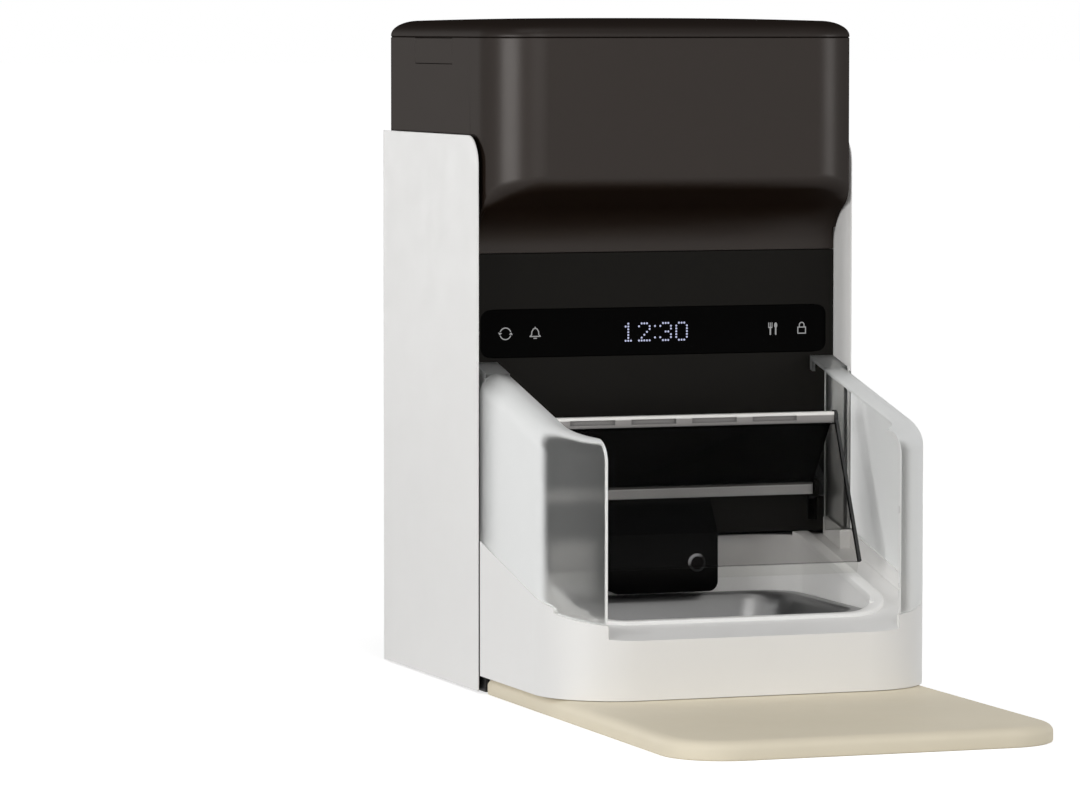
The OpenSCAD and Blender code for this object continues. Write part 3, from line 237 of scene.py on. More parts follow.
def ring_painted_glint(dark, glint):
    """Colour of the ring round the sensor, with a painted highlight: bright only along its upper left."""
    way = (-0.55, 0.0, 0.835)
    centre = (way[0] * SENSOR_X + way[2] * SENSOR_Z) / 1000

    def paint(g):
        along = g.vector_math("DOT_PRODUCT", g.coord, way)
        # painted highlight: the colour turns bright past a line across the ring's upper left
        return g.mix(g.spread(along, 0, 1, centre + 0.0008, centre + 0.0034), dark, glint)
    return paint


def frosted(name, tint, through, low, high, clear, milky):
    """Frosted wall: lets blurred light through when looked at straight on, milky at a low angle, clearer
    beside the side panels, and with painted shade near its free edge, where the light it lets through is
    darkened."""
    g = Graph(name)
    milk = g.node("ShaderNodeBsdfPrincipled", IOR=1.3, Specular_IOR_Level=0.3)
    g.link(g.spread(g.noise(80, 4, 0.6), 0.36, 0.44), milk.inputs["Roughness"])
    g.link(g.mottled(scaled(tint, 0.98), scaled(tint, 1.0), 20, 3), milk.inputs["Base Color"])
    blur = g.node("ShaderNodeBsdfRefraction", Roughness=0.34, IOR=1.12)
    # painted shade: the light let through is darkened towards the free edge
    out = g.spread(g.math("ABSOLUTE", g.part(g.coord, "X")), 0, 1, 0.076, 0.094)
    g.link(g.mix(out, scaled(through, 0.78), through), blur.inputs["Color"])
    facing = g.node("ShaderNodeLayerWeight", Blend=0.5).outputs["Facing"]
    share = g.spread(facing, clear, milky, low, high, smooth=True)
    fade = g.spread(g.part(g.coord, "Y"), 1.0, 0.12, (FRAME_Y - 30) / 1000, FRAME_Y / 1000)
    return g.finish_clear(g.mix_shader(g.math("MULTIPLY", share, fade), blur, milk), 0.9)


def smoke(name, tint, keep, shine, ior=1.4):
    """Thin tinted pane: light goes straight through, darkened, with a faint surface reflection."""
    g = Graph(name)
    clear = g.t.nodes.new("ShaderNodeBsdfTransparent")
    g.link(g.mottled(scaled(tint, keep * 0.98), scaled(tint, keep * 1.02), 30, 4), clear.inputs["Color"])
    gloss = g.node("ShaderNodeBsdfGlossy", Color=(shine, shine, shine, 1))
    g.link(g.spread(g.noise(45, 5, 0.7), 0.02, 0.05), gloss.inputs["Roughness"])
    edge_on = g.node("ShaderNodeFresnel", IOR=ior).outputs[0]
    return g.finish_clear(g.mix_shader(edge_on, clear, gloss), 0.92)


def lamp(name, color):
    """Small lit shape on the display."""
    g = Graph(name)
    glow = g.node("ShaderNodeEmission", Strength=1.0)
    g.link(g.mottled(scaled(color, 0.9), color, 900, 2), glow.inputs["Color"])
    return g.finish(glow)


WHITE = srgb(236, 235, 233)
BROWN = srgb(29, 21, 16)
MATS = {}


def add(kind, name, *args, **kw):
    MATS[name] = kind(name, *args, **kw)


# The slots of the CAD nodes.
add(plastic, "white_shell", WHITE, 0.42, mottle=0.012)
add(plastic, "white_inner", srgb(205, 204, 202), 0.5, mottle=0.02)
# brown_satin: painted shade on faces that look up or down
add(dark_satin, "brown_satin", BROWN, 0.034, 0.35, wear=0.012, grain=0.008, flat=0.35)
add(dark_satin, "black_face", srgb(24, 23, 21), 0.006, 0.36)
add(plastic, "black_inner", srgb(24, 24, 24), 0.5, mottle=0.08, grain=0.06, grain_scale=1800)
add(dark_satin, "lens_black", srgb(5, 5, 5), 0.0015, 0.1, edge=0.0003, grain=0.004)
add(dark_satin, "chute_black", srgb(7, 7, 7), 0.004, 0.14, wear=0.03, edge=0.0008, grain=0.008)
add(plastic, "light_module", srgb(60, 62, 66), 0.5)
add(plastic, "board_green", srgb(20, 92, 52), 0.35, mottle=0.12, grain=0.1, grain_scale=700)
add(plastic, "copper", srgb(190, 110, 64), 0.3, mottle=0.1, grain=0.3, grain_scale=900, edge=0.0002,
    metallic=1.0)
add(plastic, "speaker_grey", srgb(90, 90, 90), grain=0.1, grain_scale=900, edge=0.0004, metallic=0.4)
add(plastic, "foot_rubber", srgb(26, 26, 26), 0.75, mottle=0.1, grain=0.2)
add(plastic, "tray_white", srgb(242, 241, 239), 0.38, mottle=0.015)
add(plastic, "steel", srgb(142, 142, 142), 0.32, mottle=0.02, grain=0.04, grain_scale=2200, edge=0.0003,
    metallic=0.85, stretch=(0.05, 1.0, 1.0), wear=0.02)
add(plastic, "mat_cream", srgb(234, 224, 201), 0.62, mottle=0.02, grain=0.12, grain_scale=2600, edge=0.0008,
    spec=0.35)
# guard_frost: painted shade darkens what it lets through near its free edge
add(frosted, "guard_frost", srgb(241, 242, 241), (0.84, 0.84, 0.835, 1), low=0.34, high=0.52, clear=0.06,
    milky=0.95)
# bar_grey: its lighter top colour is a painted highlight along the top edge, and its slots get painted shade
add(plastic, "bar_grey", None, 0.35, grain=0.03,
    paint=bar_painted_light(srgb(136, 133, 131), srgb(236, 234, 231), FOLD_BAR_TOP))
add(plastic, "shaft_steel", srgb(180, 180, 182), 0.25, mottle=0.04, grain=0.05, edge=0.0002, metallic=1.0)
add(plastic, "gear_white", srgb(222, 216, 200), mottle=0.03, grain=0.05)
add(smoke, "pane_smoke", srgb(255, 254, 253), 0.81, 0.05)
add(plastic, "motor_grey", srgb(160, 160, 164), 0.32, mottle=0.05, grain=0.1, grain_scale=900, edge=0.0003,
    metallic=1.0)
add(plastic, "funnel_brown", srgb(92, 78, 70), mottle=0.05, grain=0.05)
add(plastic, "seal_white", srgb(214, 213, 208), 0.7, mottle=0.03, grain=0.1)
add(plastic, "desiccant_white", srgb(222, 219, 208), 0.5, mottle=0.03, grain=0.05)
add(plastic, "drum_black", srgb(30, 30, 30), 0.45, grain=0.06)
add(plastic, "rotor_orange", srgb(214, 120, 60), 0.6, mottle=0.05, grain=0.15)
# bezel_chrome: the bright arc on its upper left is a painted highlight
add(plastic, "bezel_chrome", None, 0.18, grain=0.01, grain_scale=900, edge=0.0004, spec=0.2,
    paint=ring_painted_glint(srgb(13, 13, 14), srgb(190, 190, 192)))
add(dark_satin, "eye_dark", srgb(10, 6, 7), 0.004, 0.1, edge=0.0002, grain=0.004)
add(plastic, "cell_gold", srgb(176, 140, 70), 0.3, mottle=0.08, grain=0.05, grain_scale=900, edge=0.0003,
    metallic=0.8)
add(plastic, "inlet_black", srgb(18, 18, 18), mottle=0.08, grain=0.05)
add(plastic, "button_grey", srgb(110, 110, 110), 0.45, mottle=0.05, grain=0.05)

# Looks of single pieces, used in place of the material of the slot that they belong to.
add(smoke, "lip_clear", srgb(254, 254, 253), 0.98, 0.6, ior=1.04)
# hinge_grey: a painted highlight along its top edge and painted shade in its slots
add(plastic, "hinge_grey", None, 0.35, grain=0.03,
    paint=bar_painted_light(srgb(172, 171, 170), srgb(200, 199, 198), HINGE_BAR_TOP))
add(plastic, "gear_dark", srgb(26, 26, 26), 0.45, mottle=0.05, grain=0.05, spec=0.15)
# lid look: a darker, shaded copy of brown_satin, painted shade on the lid, with more painted shade on faces
# that look up or down
add(dark_satin, "lid_brown", srgb(26, 19, 15), 0.028, 0.35, wear=0.012, grain=0.008, flat=0.25)
add(plastic, "guard_edge", srgb(240, 240, 239), 0.3, mottle=0.01)
add(lamp, "dots_lit", srgb(196, 201, 232))
add(lamp, "icons_lit", srgb(156, 156, 156))
OWN_LOOK = {"pane_lip_strip": "lip_clear", "hinge_bar": "hinge_grey", "drive_sector": "gear_dark",
            "cover_pinion": "gear_dark"}

for part in frame["record"]["subparts"]:
    look = OWN_LOOK.get(part["node"], part["material_slot"])
    surfaces = nodes[part["node"]].data.materials
    surfaces.clear()
    surfaces.append(MATS[look])


# Meshes. A form is a list of points and a list of faces that close it.
def clean_mesh(name, form):
    me = bpy.data.meshes.new(name)
    me.from_pydata([P(*v) for v in form[0]], [], form[1])
    bm = bmesh.new()
    bm.from_mesh(me)
    bmesh.ops.remove_doubles(bm, verts=bm.verts, dist=1e-6)
    bmesh.ops.recalc_face_normals(bm, faces=bm.faces)
    bm.to_mesh(me)
    bm.free()
    return me


def shade(me, sharp):
    """Smooth shading, broken at edges sharper than an angle in degrees."""
    for f in me.polygons:
        f.use_smooth = True
    me.set_sharp_from_angle(angle=math.radians(sharp))


def weigh_normals(o):
    """Keeps flat faces flat in shading beside the rounded edges that they run into."""
    md = o.modifiers.new("shade", "WEIGHTED_NORMAL")
    md.weight = 100
    md.keep_sharp = True


def solid(name, form, body, slot, stands_for=(), sharp=35, look=None):
    """Makes a piece of a form, lets it ride on a body and stand for CAD nodes."""
    me = clean_mesh(name, form)
    shade(me, sharp)
    me.materials.append(MATS[look or slot])
    o = bpy.data.objects.new(name, me)
    bpy.context.scene.collection.objects.link(o)
    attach(o, body)
    if stands_for:
        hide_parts(*stands_for)
    return o


def outline(x0, x1, y0, y1, radii, steps=10):
    """Rounded rectangle, counter-clockwise from the front left corner; radii in the order front left, front
    right, back right, back left. Every corner has the same number of points."""
    pts = []
    corners = ((x0, y0, 1, 1, 180), (x1, y0, -1, 1, 270), (x1, y1, -1, -1, 0), (x0, y1, 1, -1, 90))
    for (x, y, sx, sy, a0), r in zip(corners, radii):
        r = max(r, 0.05)
        pts += [(x + sx * r + r * math.cos(a), y + sy * r + r * math.sin(a))
                for a in sweep(a0, a0 + 90, steps)]
    return pts


def stack(layers):
    """Form through closed loops of equally many points, capped at its ends."""
    n, last = len(layers[0]), len(layers) - 1
    faces = [(a * n + b, (a + 1) * n + b, (a + 1) * n + (b + 1) % n, a * n + (b + 1) % n)
             for a in range(last) for b in range(n)]
    faces += [tuple(range(n)), tuple(range(last * n, (last + 1) * n))]
    return [v for pts in layers for v in pts], faces


def stack_up(layers):
    """Form through outlines in X and Y, each with its height."""
    return stack([[(x, y, z) for x, y in pts] for pts, z in layers])


def gather(forms):
    """Puts several forms into one."""
    verts, faces = [], []
    for v, f in forms:
        faces += [tuple(len(verts) + q for q in face) for face in f]
        verts += v
    return verts, faces


# Guards: a side wall that bends round at the front to a free edge, with its top rolled inwards.
SLOPE = math.tan(math.radians(13.6))
DECK_FRONT, DECK_LOW = -121, 38.1
GUARD_R, GUARD_CX, GUARD_CY = 40.0, 59.7, -81.0
GUARD_EDGE, GUARD_BACK, GUARD_WALL = 75.5, -0.3, 2.0
GUARD_HIGH, RISE_Y, RISE = 92, -99, 0.0065
FOOT_SIDE, FOOT_FRONT, FOOT_STEP_Y = 9.5, 6.9, -98


def deck(y):
    return DECK_LOW + (y - DECK_FRONT) * SLOPE


def guard_top(y):
    """Height of the top edge: along the deck, and then rising in a curve towards the front."""
    past = max(0.0, RISE_Y - y)
    return deck(y) + GUARD_HIGH + RISE * past * past


def guard_bottom(y):
    return deck(y) + (FOOT_SIDE if y > FOOT_STEP_Y else FOOT_FRONT)


def guard(side):
    roll, lip = 10.0, 15.7
    inner = roll - GUARD_WALL
    # Inset from the outer face and depth below the top edge; no depth stands for the bottom edge.
    profile = [(0, None), (0, roll)]
    profile += [(roll * (1 - math.cos(a)), roll * (1 - math.sin(a))) for a in sweep(9, 90, 9)]
    profile += [(lip - 0.5, 1.1), (lip, 1.7), (lip, 2.7), (lip - 0.5, 3.2)]
    profile += [(roll - inner * math.cos(a), roll - inner * math.sin(a)) for a in sweep(90, 0, 9)]
    profile += [(GUARD_WALL, None)]

    straight, bend, edge_band = 26, 25, 0.018
    sections = []
    for k in range(straight + bend + 1):
        section = []
        for d, depth in profile:
            r = GUARD_R - d
            if k < straight:
                x, y = GUARD_CX + r, GUARD_BACK + (GUARD_CY - GUARD_BACK) * k / straight
            else:
                stop = math.acos((GUARD_EDGE - GUARD_CX) / r)
                left = straight + bend - k
                a = stop * (1 - left / bend) if left > 1 else stop - edge_band * left
                x, y = GUARD_CX + r * math.cos(a), GUARD_CY - r * math.sin(a)
            section.append((side * x, y, guard_bottom(y) if depth is None else guard_top(y) - depth))
        sections.append(section)

    def plate(x0, x1, y0, y1, low, high):
        return stack([[(side * x0, y, low(y)), (side * x1, y, low(y)), (side * x1, y, high(y)),
                       (side * x0, y, high(y))] for y in (y0, y1)])

    x_in, x_out, y_front, y_back = 84.0, 96.5, -0.29, 19.2
    arm_top, arm_under, hook_foot = 91.5, 89.5, 84.5
    forms = [
        stack(sections),
        # rear web, then the arm that reaches back from it, the arm's wall and its hook
        plate(x_in, 97.7, -1.99, -0.31, guard_bottom, lambda y: guard_top(y) - 2.4),
        plate(x_in, x_out, y_front, y_back, lambda y: deck(y) + arm_under, lambda y: deck(y) + arm_top),
        plate(x_out - GUARD_WALL, x_out, y_front, y_back, guard_bottom, lambda y: deck(y) + arm_under - 0.01),
        plate(x_in, 85.6, 16.0, y_back, lambda y: deck(y) + hook_foot, lambda y: deck(y) + arm_under - 0.01),
    ]
    name = hand(side)
    o = solid("guard_" + name + "_moulding", gather(forms), "casing", "guard_frost", ("guard_" + name,), 40)
    o.data.materials.append(MATS["guard_edge"])
    for f in o.data.polygons:
        x, y = abs(f.center.x) * 1000, f.center.y * 1000 - FRAME_Y
        if y < GUARD_CY and x < GUARD_EDGE + 0.75:
            f.material_index = 1


# Side panels, display lens and tray rail.
def panel(side):
    """Flat panel: rounded front top corner, rounded outer edges and a front edge that thins out inside."""
    outer, back, foot, top, corner, toe = 100.0, 154.0, 1.0, 276.4, 15.0, 1.5

    def ring(inset, depth, front):
        r = corner - inset
        pts = [(back - inset, foot + inset), (back - inset, top - inset)]
        pts += [(front + corner + r * math.cos(a), top - corner + r * math.sin(a))
                for a in sweep(90, 180, 12)]
        pts += [(front + inset + toe * (1 - math.cos(a)), foot + inset + toe * (1 - math.sin(a)))
                for a in sweep(0, 90, 4)]
        return [(side * (outer - depth), y, z) for y, z in pts]

    form = stack([ring(0.5, 0.0, 2.5), ring(0.15, 0.15, 2.5), ring(0.0, 0.45, 2.5), ring(0.0, 0.75, 2.5),
                  ring(0.3, 1.0, 3.1), ring(0.6, 3.0, 9.5)])
    name = hand(side)
    o = solid("panel_" + name + "_moulding", form, "casing", "white_shell", ("side_panel_" + name,), 40)
    weigh_normals(o)


LENS_X, LENS_LOW, LENS_HIGH, LENS_Y, LENS_R = 92.7, 165.55, 189.45, 19.4, 5


def lens():
    """Display lens: long rounded plate with a softened front edge."""
    def ring(inset, depth):
        pts = outline(-LENS_X + inset, LENS_X - inset, LENS_LOW + inset, LENS_HIGH - inset,
                      (LENS_R - inset,) * 4, 8)
        return [(x, LENS_Y + depth, z) for x, z in pts]

    form = stack([ring(0, 1.2), ring(0, 0.22), ring(0.06, 0.1), ring(0.22, 0.02), ring(0.5, 0)])
    solid("lens_moulding", form, "casing", "lens_black", ("display_lens",), 40)


def tray_rail():
    """Rounded rail over the tray's edge that runs along both sides and dips round the front corners."""
    x_side, r, cy, high, dip, sunk = 80.25, 23.25, -73.0, 2.35, 1.45, -1.2
    path = [(x_side, y, high) for y in (18.9, 0.0, -20.0, -40.0, -60.0)]
    for a in sweep(0, 90, 12):
        f = math.degrees(a) / 90
        path.append((x_side - r + r * math.cos(a), cy - r * math.sin(a), high - dip * f * f * (3 - 2 * f)))
    path += [(-x, y, h) for x, y, h in reversed(path)]
    # Offset across the rail and height from its crown; no height stands for the foot inside the deck.
    half = [(2.5, 0.0), (3.2, -0.25), (3.45, -0.9), (3.45, None)]
    profile = [(-u, v) for u, v in reversed(half)] + half
    sections = []
    for k, (x, y, h) in enumerate(path):
        ax, ay = path[max(k - 1, 0)][:2]
        bx, by = path[min(k + 1, len(path) - 1)][:2]
        d = math.hypot(bx - ax, by - ay)
        nx, ny = -(by - ay) / d, (bx - ax) / d
        sections.append([(x + nx * u, y + ny * u, deck(y) + (sunk if v is None else h + v))
                         for u, v in profile])
    solid("tray_rail", stack(sections), "casing", "tray_white", (), 50)


# Lid and food tank, which share a rounded plan.
TANK_X, TANK_FRONT, TANK_BACK, TANK_R, TANK_BOTTOM = 98.0, -20.0, 170.0, 28.0, 217.6
TANK_WALL, TANK_RIM = 3.0, 324.4


def tank_plan(inset, r=TANK_R):
    return outline(-TANK_X + inset, TANK_X - inset, TANK_FRONT + inset, TANK_BACK - inset,
                   (max(r - inset, 1.5),) * 4, 12)


def lid():
    top, crown, edge_w, seam = 333.0, 1.35, 13.0, 325.5
    layers = [(tank_plan(inset), z) for inset, z in (
        # under face, plug with its seal groove, skirt and seam edge
        (9.9, 329.4), (9.9, 318.7), (9.6, 318.4), (7.8, 318.4), (7.5, 318.7), (7.5, 320.0), (9.1, 320.0),
        (9.1, 322.8), (7.5, 322.8), (7.5, 324.42), (0.45, 324.42), (0.45, 324.7), (0.3, 324.75), (0.0, 325.1),
        (0.0, seam))]
    upper = [(edge_w * (1 - math.cos(a)), seam + (top - seam) * math.sin(a)) for a in sweep(7, 90, 12)]
    upper += [(edge_w + 74 * k / 8, top + crown * (1 - (1 - k / 8) ** 2)) for k in range(1, 9)]
    layers += [(tank_plan(inset, TANK_R + 0.55 * inset), z) for inset, z in upper]
    # the lid's look is a shaded copy of the tank's brown: painted shade
    solid("lid_moulding", stack_up(layers), "lid", "brown_satin", ("hopper_lid",), 40, "lid_brown")


# The tank's front underside is swept up from a hollow over the control panel.
SWEEP, SWEEP_LEVEL = math.radians(25), 242
HOLLOW_Y, HOLLOW_Z, HOLLOW_R = -6.5, 216.34, 26.0
# The rolled edge shrinks to a small one over a stretch of Y.
SMALL_ROLL, SHRINK_Y, SHRINK_LENGTH = 3.0, -5, 9


def tank_skin(g, top, edge):
    """Form of the food tank drawn in by g, with a rolled edge between its walls and its underside."""
    hr = HOLLOW_R + g
    bottom = TANK_BOTTOM + g
    end = math.acos((bottom - HOLLOW_Z) / hr)
    y_end = HOLLOW_Y + hr * math.sin(end)
    r, cx_plan = TANK_R - g, TANK_X - TANK_R

    def corner(x0, y0, a0, steps):
        return [(x0 + r * math.cos(a), y0 + r * math.sin(a), math.cos(a), math.sin(a))
                for a in sweep(a0, a0 + 90, steps)]

    # Points of the plan, each with the way out.
    beside = (12.0, 16.0, y_end - 0.4, y_end + 0.4)
    line = corner(-cx_plan, TANK_FRONT + TANK_R, 180, 14) + corner(cx_plan, TANK_FRONT + TANK_R, 270, 14)
    line += [(TANK_X - g, y, 1.0, 0.0) for y in beside]
    line += corner(cx_plan, TANK_BACK - TANK_R, 0, 10) + corner(-cx_plan, TANK_BACK - TANK_R, 90, 10)
    line += [(g - TANK_X, y, -1.0, 0.0) for y in reversed(beside)]

    roll, under = 9, 12
    columns = []
    for x, y, nx, ny in line:
        col = [(x, y, top)]
        if y > y_end:
            col += [(x, y, top + (bottom - top) * k / (roll + under)) for k in range(1, roll + under + 1)]
            columns.append(col)
            continue
        fade = min(1.0, max(0.0, (y - SHRINK_Y) / SHRINK_LENGTH))
        ball = max((edge - g) * (1 - fade) + SMALL_ROLL * fade, 0.4)
        cx, cy = x - ball * nx, y - ball * ny
        far = hr + ball
        if cy < HOLLOW_Y + far * math.sin(SWEEP):
            cz = SWEEP_LEVEL - math.tan(SWEEP) * cy + (g + ball) / math.cos(SWEEP)
            up = Vector((0, math.sin(SWEEP), math.cos(SWEEP)))
        else:
            cz = HOLLOW_Z + math.sqrt(max(far * far - (cy - HOLLOW_Y) ** 2, 0))
            up = Vector((0, (cy - HOLLOW_Y) / far, (cz - HOLLOW_Z) / far))
        out, down = Vector((nx, ny, 0)), -up
        turn = out.angle(down)
        for k in range(roll + 1):
            f = k / roll
            d = (out * math.sin((1 - f) * turn) + down * math.sin(f * turn)) / math.sin(turn)
            col.append((cx + ball * d.x, cy + ball * d.y, cz + ball * d.z))
        yt, zt = col[-1][1], col[-1][2]
        y_sw, z_sw = HOLLOW_Y + hr * math.sin(SWEEP), HOLLOW_Z + hr * math.cos(SWEEP)
        rest = []
        if yt < y_sw:
            rest += [(yt + (y_sw - yt) * k / 3, zt + (z_sw - zt) * k / 3) for k in range(1, 4)]
            start, n = SWEEP, under - 4
        else:
            start, n = math.asin(min(1.0, (yt - HOLLOW_Y) / hr)), under - 1
        for k in range(1, n + 1):
            a = start + (end - start) * k / n
            rest.append((HOLLOW_Y + hr * math.sin(a), HOLLOW_Z + hr * math.cos(a)))
        col += [(cx + ball * down.x, py, pz) for py, pz in rest]
        columns.append(col)
    return stack([list(layer) for layer in zip(*columns)])


def prism(points, low, high):
    """Straight block over an outline in X and Y."""
    return stack_up([(points, z) for z in (low, high)])


def prism_x(points, low, high):
    """Straight block along X over an outline in Y and Z."""
    return stack([[(x, y, z) for y, z in points] for x in (low, high)])


def carve(o, forms, sharp):
    """Cuts forms out of a piece and leaves a plain mesh."""
    tools = []
    for form in forms:
        t = bpy.data.objects.new("tool", clean_mesh("tool", form))
        bpy.context.scene.collection.objects.link(t)
        md = o.modifiers.new("cut", "BOOLEAN")
        md.operation, md.solver, md.object = "DIFFERENCE", "EXACT", t
        tools.append(t)
    done = bpy.data.meshes.new_from_object(o.evaluated_get(bpy.context.evaluated_depsgraph_get()))
    o.modifiers.clear()
    o.data = done
    for t in tools:
        bpy.data.objects.remove(t)
    shade(done, sharp)
    weigh_normals(o)


def tank():
    edge, sharp, past, above = 9.0, 32, 120, 330
    form = tank_skin(0.0, TANK_RIM, edge)
    o = solid("tank_moulding", form, "tank", "brown_satin", ("hopper_tank",), sharp)

    # inside and mouth
    cuts = [tank_skin(TANK_WALL, 308.4, edge), prism(outline(-91, 91, -13, 163, (21,) * 4), 262, above)]
    # recesses for the side panels
    recess, corner_y, corner_z, r = TANK_X - 1.3, 14.0, 262.4, 14.3
    around = [(corner_y - r, 100), (250, 100), (250, corner_z + r)]
    around += [(corner_y + r * math.cos(a), corner_z + r * math.sin(a)) for a in sweep(90, 180, 10)]
    cuts += [prism_x(around, x0, x1) for x0, x1 in ((recess, past), (-past, -recess))]
    # seats of the latch buttons
    seat = TANK_X - 3.7
    cuts += [prism(outline(x0, x1, 47.2, 106.8, (0.3,) * 4, 2), 311.2, above)
             for x0, x1 in ((seat, past), (-past, -seat))]
    # outlet in the bottom
    cuts.append(prism(outline(-30.5, 30.5, 59.5, 114.5, (0.2,) * 4, 2), 210, 226))
    carve(o, cuts, sharp)


# Mat and bowl.
def mat():
    half_w, front, thick, roll_w, roll_h, r, r_back = 96.5, -273, 9.0, 7.0, 4.4, 30, 2

    def ring(i):
        radii = (r - i, r - i, r_back, r_back)
        return outline(-half_w + i, half_w - i, front + i, -1 - min(i, 1.0), radii, 12)

    layers = [(ring(0.8), 0.0), (ring(0.2), 0.3), (ring(0), 0.9), (ring(0), thick - roll_h)]
    layers += [(ring(roll_w * (1 - math.cos(a)) ** 1.1), thick - roll_h * (1 - math.sin(a)))
               for a in sweep(9, 90, 10)]
    solid("mat_moulding", stack_up(layers), "mat", "mat_cream", ("silicone_mat",), 50)


def bowl():
    """Pressed bowl with a flat rim, walls that draw in and a rounded floor edge."""
    rim, floor, flange, lead, draft, fillet, gauge = 43.9, 19.9, 7.0, 1.2, 3.4, 7.5, 0.85
    half_w, front, back = 75.6, -91.6, 28.6
    wall_r, floor_r, floor_inset = 21, 10, 46

    def ring(i, r):
        return outline(-half_w + i, half_w - i, front + i, back - i, (max(r, 1.0),) * 4, 12)

    def drawn(i, r, round_by, z, steep):
        """Layer on a rounded floor edge."""
        return (ring(i + round_by * (1 - math.cos(steep)), r - 0.8 * fillet * (1 - math.cos(steep))),
                z + round_by * (1 - math.sin(steep)))

    inner = [(ring(flange - lead * math.sin(a), 20), rim - lead * (1 - math.sin(a))) for a in sweep(90, 0, 5)]
    drop = rim - floor - fillet - lead
    inner += [(ring(flange + draft * k / 6, wall_r), rim - lead - drop * k / 6) for k in range(1, 7)]
    inner += [drawn(flange + draft, wall_r, fillet, floor, a) for a in sweep(10, 90, 9)]
    inner.append((ring(floor_inset, floor_r), floor + 0.15))

    outer = [(ring(floor_inset, floor_r), floor - gauge)]
    outer += [drawn(flange + draft - 1.0, wall_r + 1, fillet + 0.9, floor - gauge, a)
              for a in sweep(90, 0, 9)]
    outer += [(ring(i, r), rim - below) for i, r, below in (
        (flange - 0.9, wall_r, 1.6), (flange - 1.6, 20, 0.95), (0.5, 18.1, 0.95), (0.05, 18.55, 0.7),
        (0, 18.6, 0.45), (0.15, 18.5, 0.1), (0.5, 18.1, 0))]
    solid("bowl_pressing", stack_up(outer + inner), "bowl", "steel", ("steel_bowl",), 50)


# Display dots and icons: flat outlines in X and Z, raised a little from the lens.
GLYPHS = {
    "1": ("..#..", ".##..", "..#..", "..#..", "..#..", "..#..", ".###."),
    "2": (".###.", "#...#", "....#", "...#.", "..#..", ".#...", "#####"),
    "3": (".###.", "#...#", "....#", "..##.", "....#", "#...#", ".###."),
    "0": (".###.", "#...#", "#...#", "#...#", "#...#", "#...#", ".###."),
    ":": (".", "#", ".", ".", ".", "#", "."),
}
CLOCK, PITCH, DOT_R = "12:30", 1.43, 0.5
CLOCK_Z, ICON_Z, LINE = 177.1, 177.5, 0.5
INNER_ICON_X, OUTER_ICON_X = 63.8, 79.5


def on_lens(name, polys, look):
    sunk, raised = 0.02, 0.06
    form = gather([stack([[(x, y, z) for x, z in pts] for y in (LENS_Y + sunk, LENS_Y - raised)])
                   for pts in polys])
    solid(name, form, "casing", "lens_black", (), 30, look)


def disc(x, z, r, n=12):
    return [(x + r * math.cos(2 * math.pi * k / n), z + r * math.sin(2 * math.pi * k / n)) for k in range(n)]


def stroke(points, w, closed=False):
    """Quads along a line of points, each a little longer than its stretch, so that they overlap."""
    quads = []
    ends = points[1:] + (points[:1] if closed else [])
    for (x0, z0), (x1, z1) in zip(points, ends):
        d = math.hypot(x1 - x0, z1 - z0)
        ux, uz = (x1 - x0) / d * w / 2, (z1 - z0) / d * w / 2
        ex, ez = ux * 0.4, uz * 0.4
        quads.append([(x0 - uz - ex, z0 + ux - ez), (x0 + uz - ex, z0 - ux - ez),
                      (x1 + uz + ex, z1 - ux + ez), (x1 - uz + ex, z1 + ux + ez)])
    return quads


def clock():
    dots, col = [], 0
    cols = sum(len(GLYPHS[c][0]) + 1 for c in CLOCK) - 1
    for c in CLOCK:
        for row, marks in enumerate(GLYPHS[c]):
            for k, mark in enumerate(marks):
                if mark == "#":
                    x, z = (col + k - (cols - 1) / 2) * PITCH, CLOCK_Z + (3 - row) * PITCH
                    dots.append(disc(x, z, DOT_R))
        col += len(GLYPHS[c][0]) + 1
    on_lens("clock_dots", dots, "dots_lit")


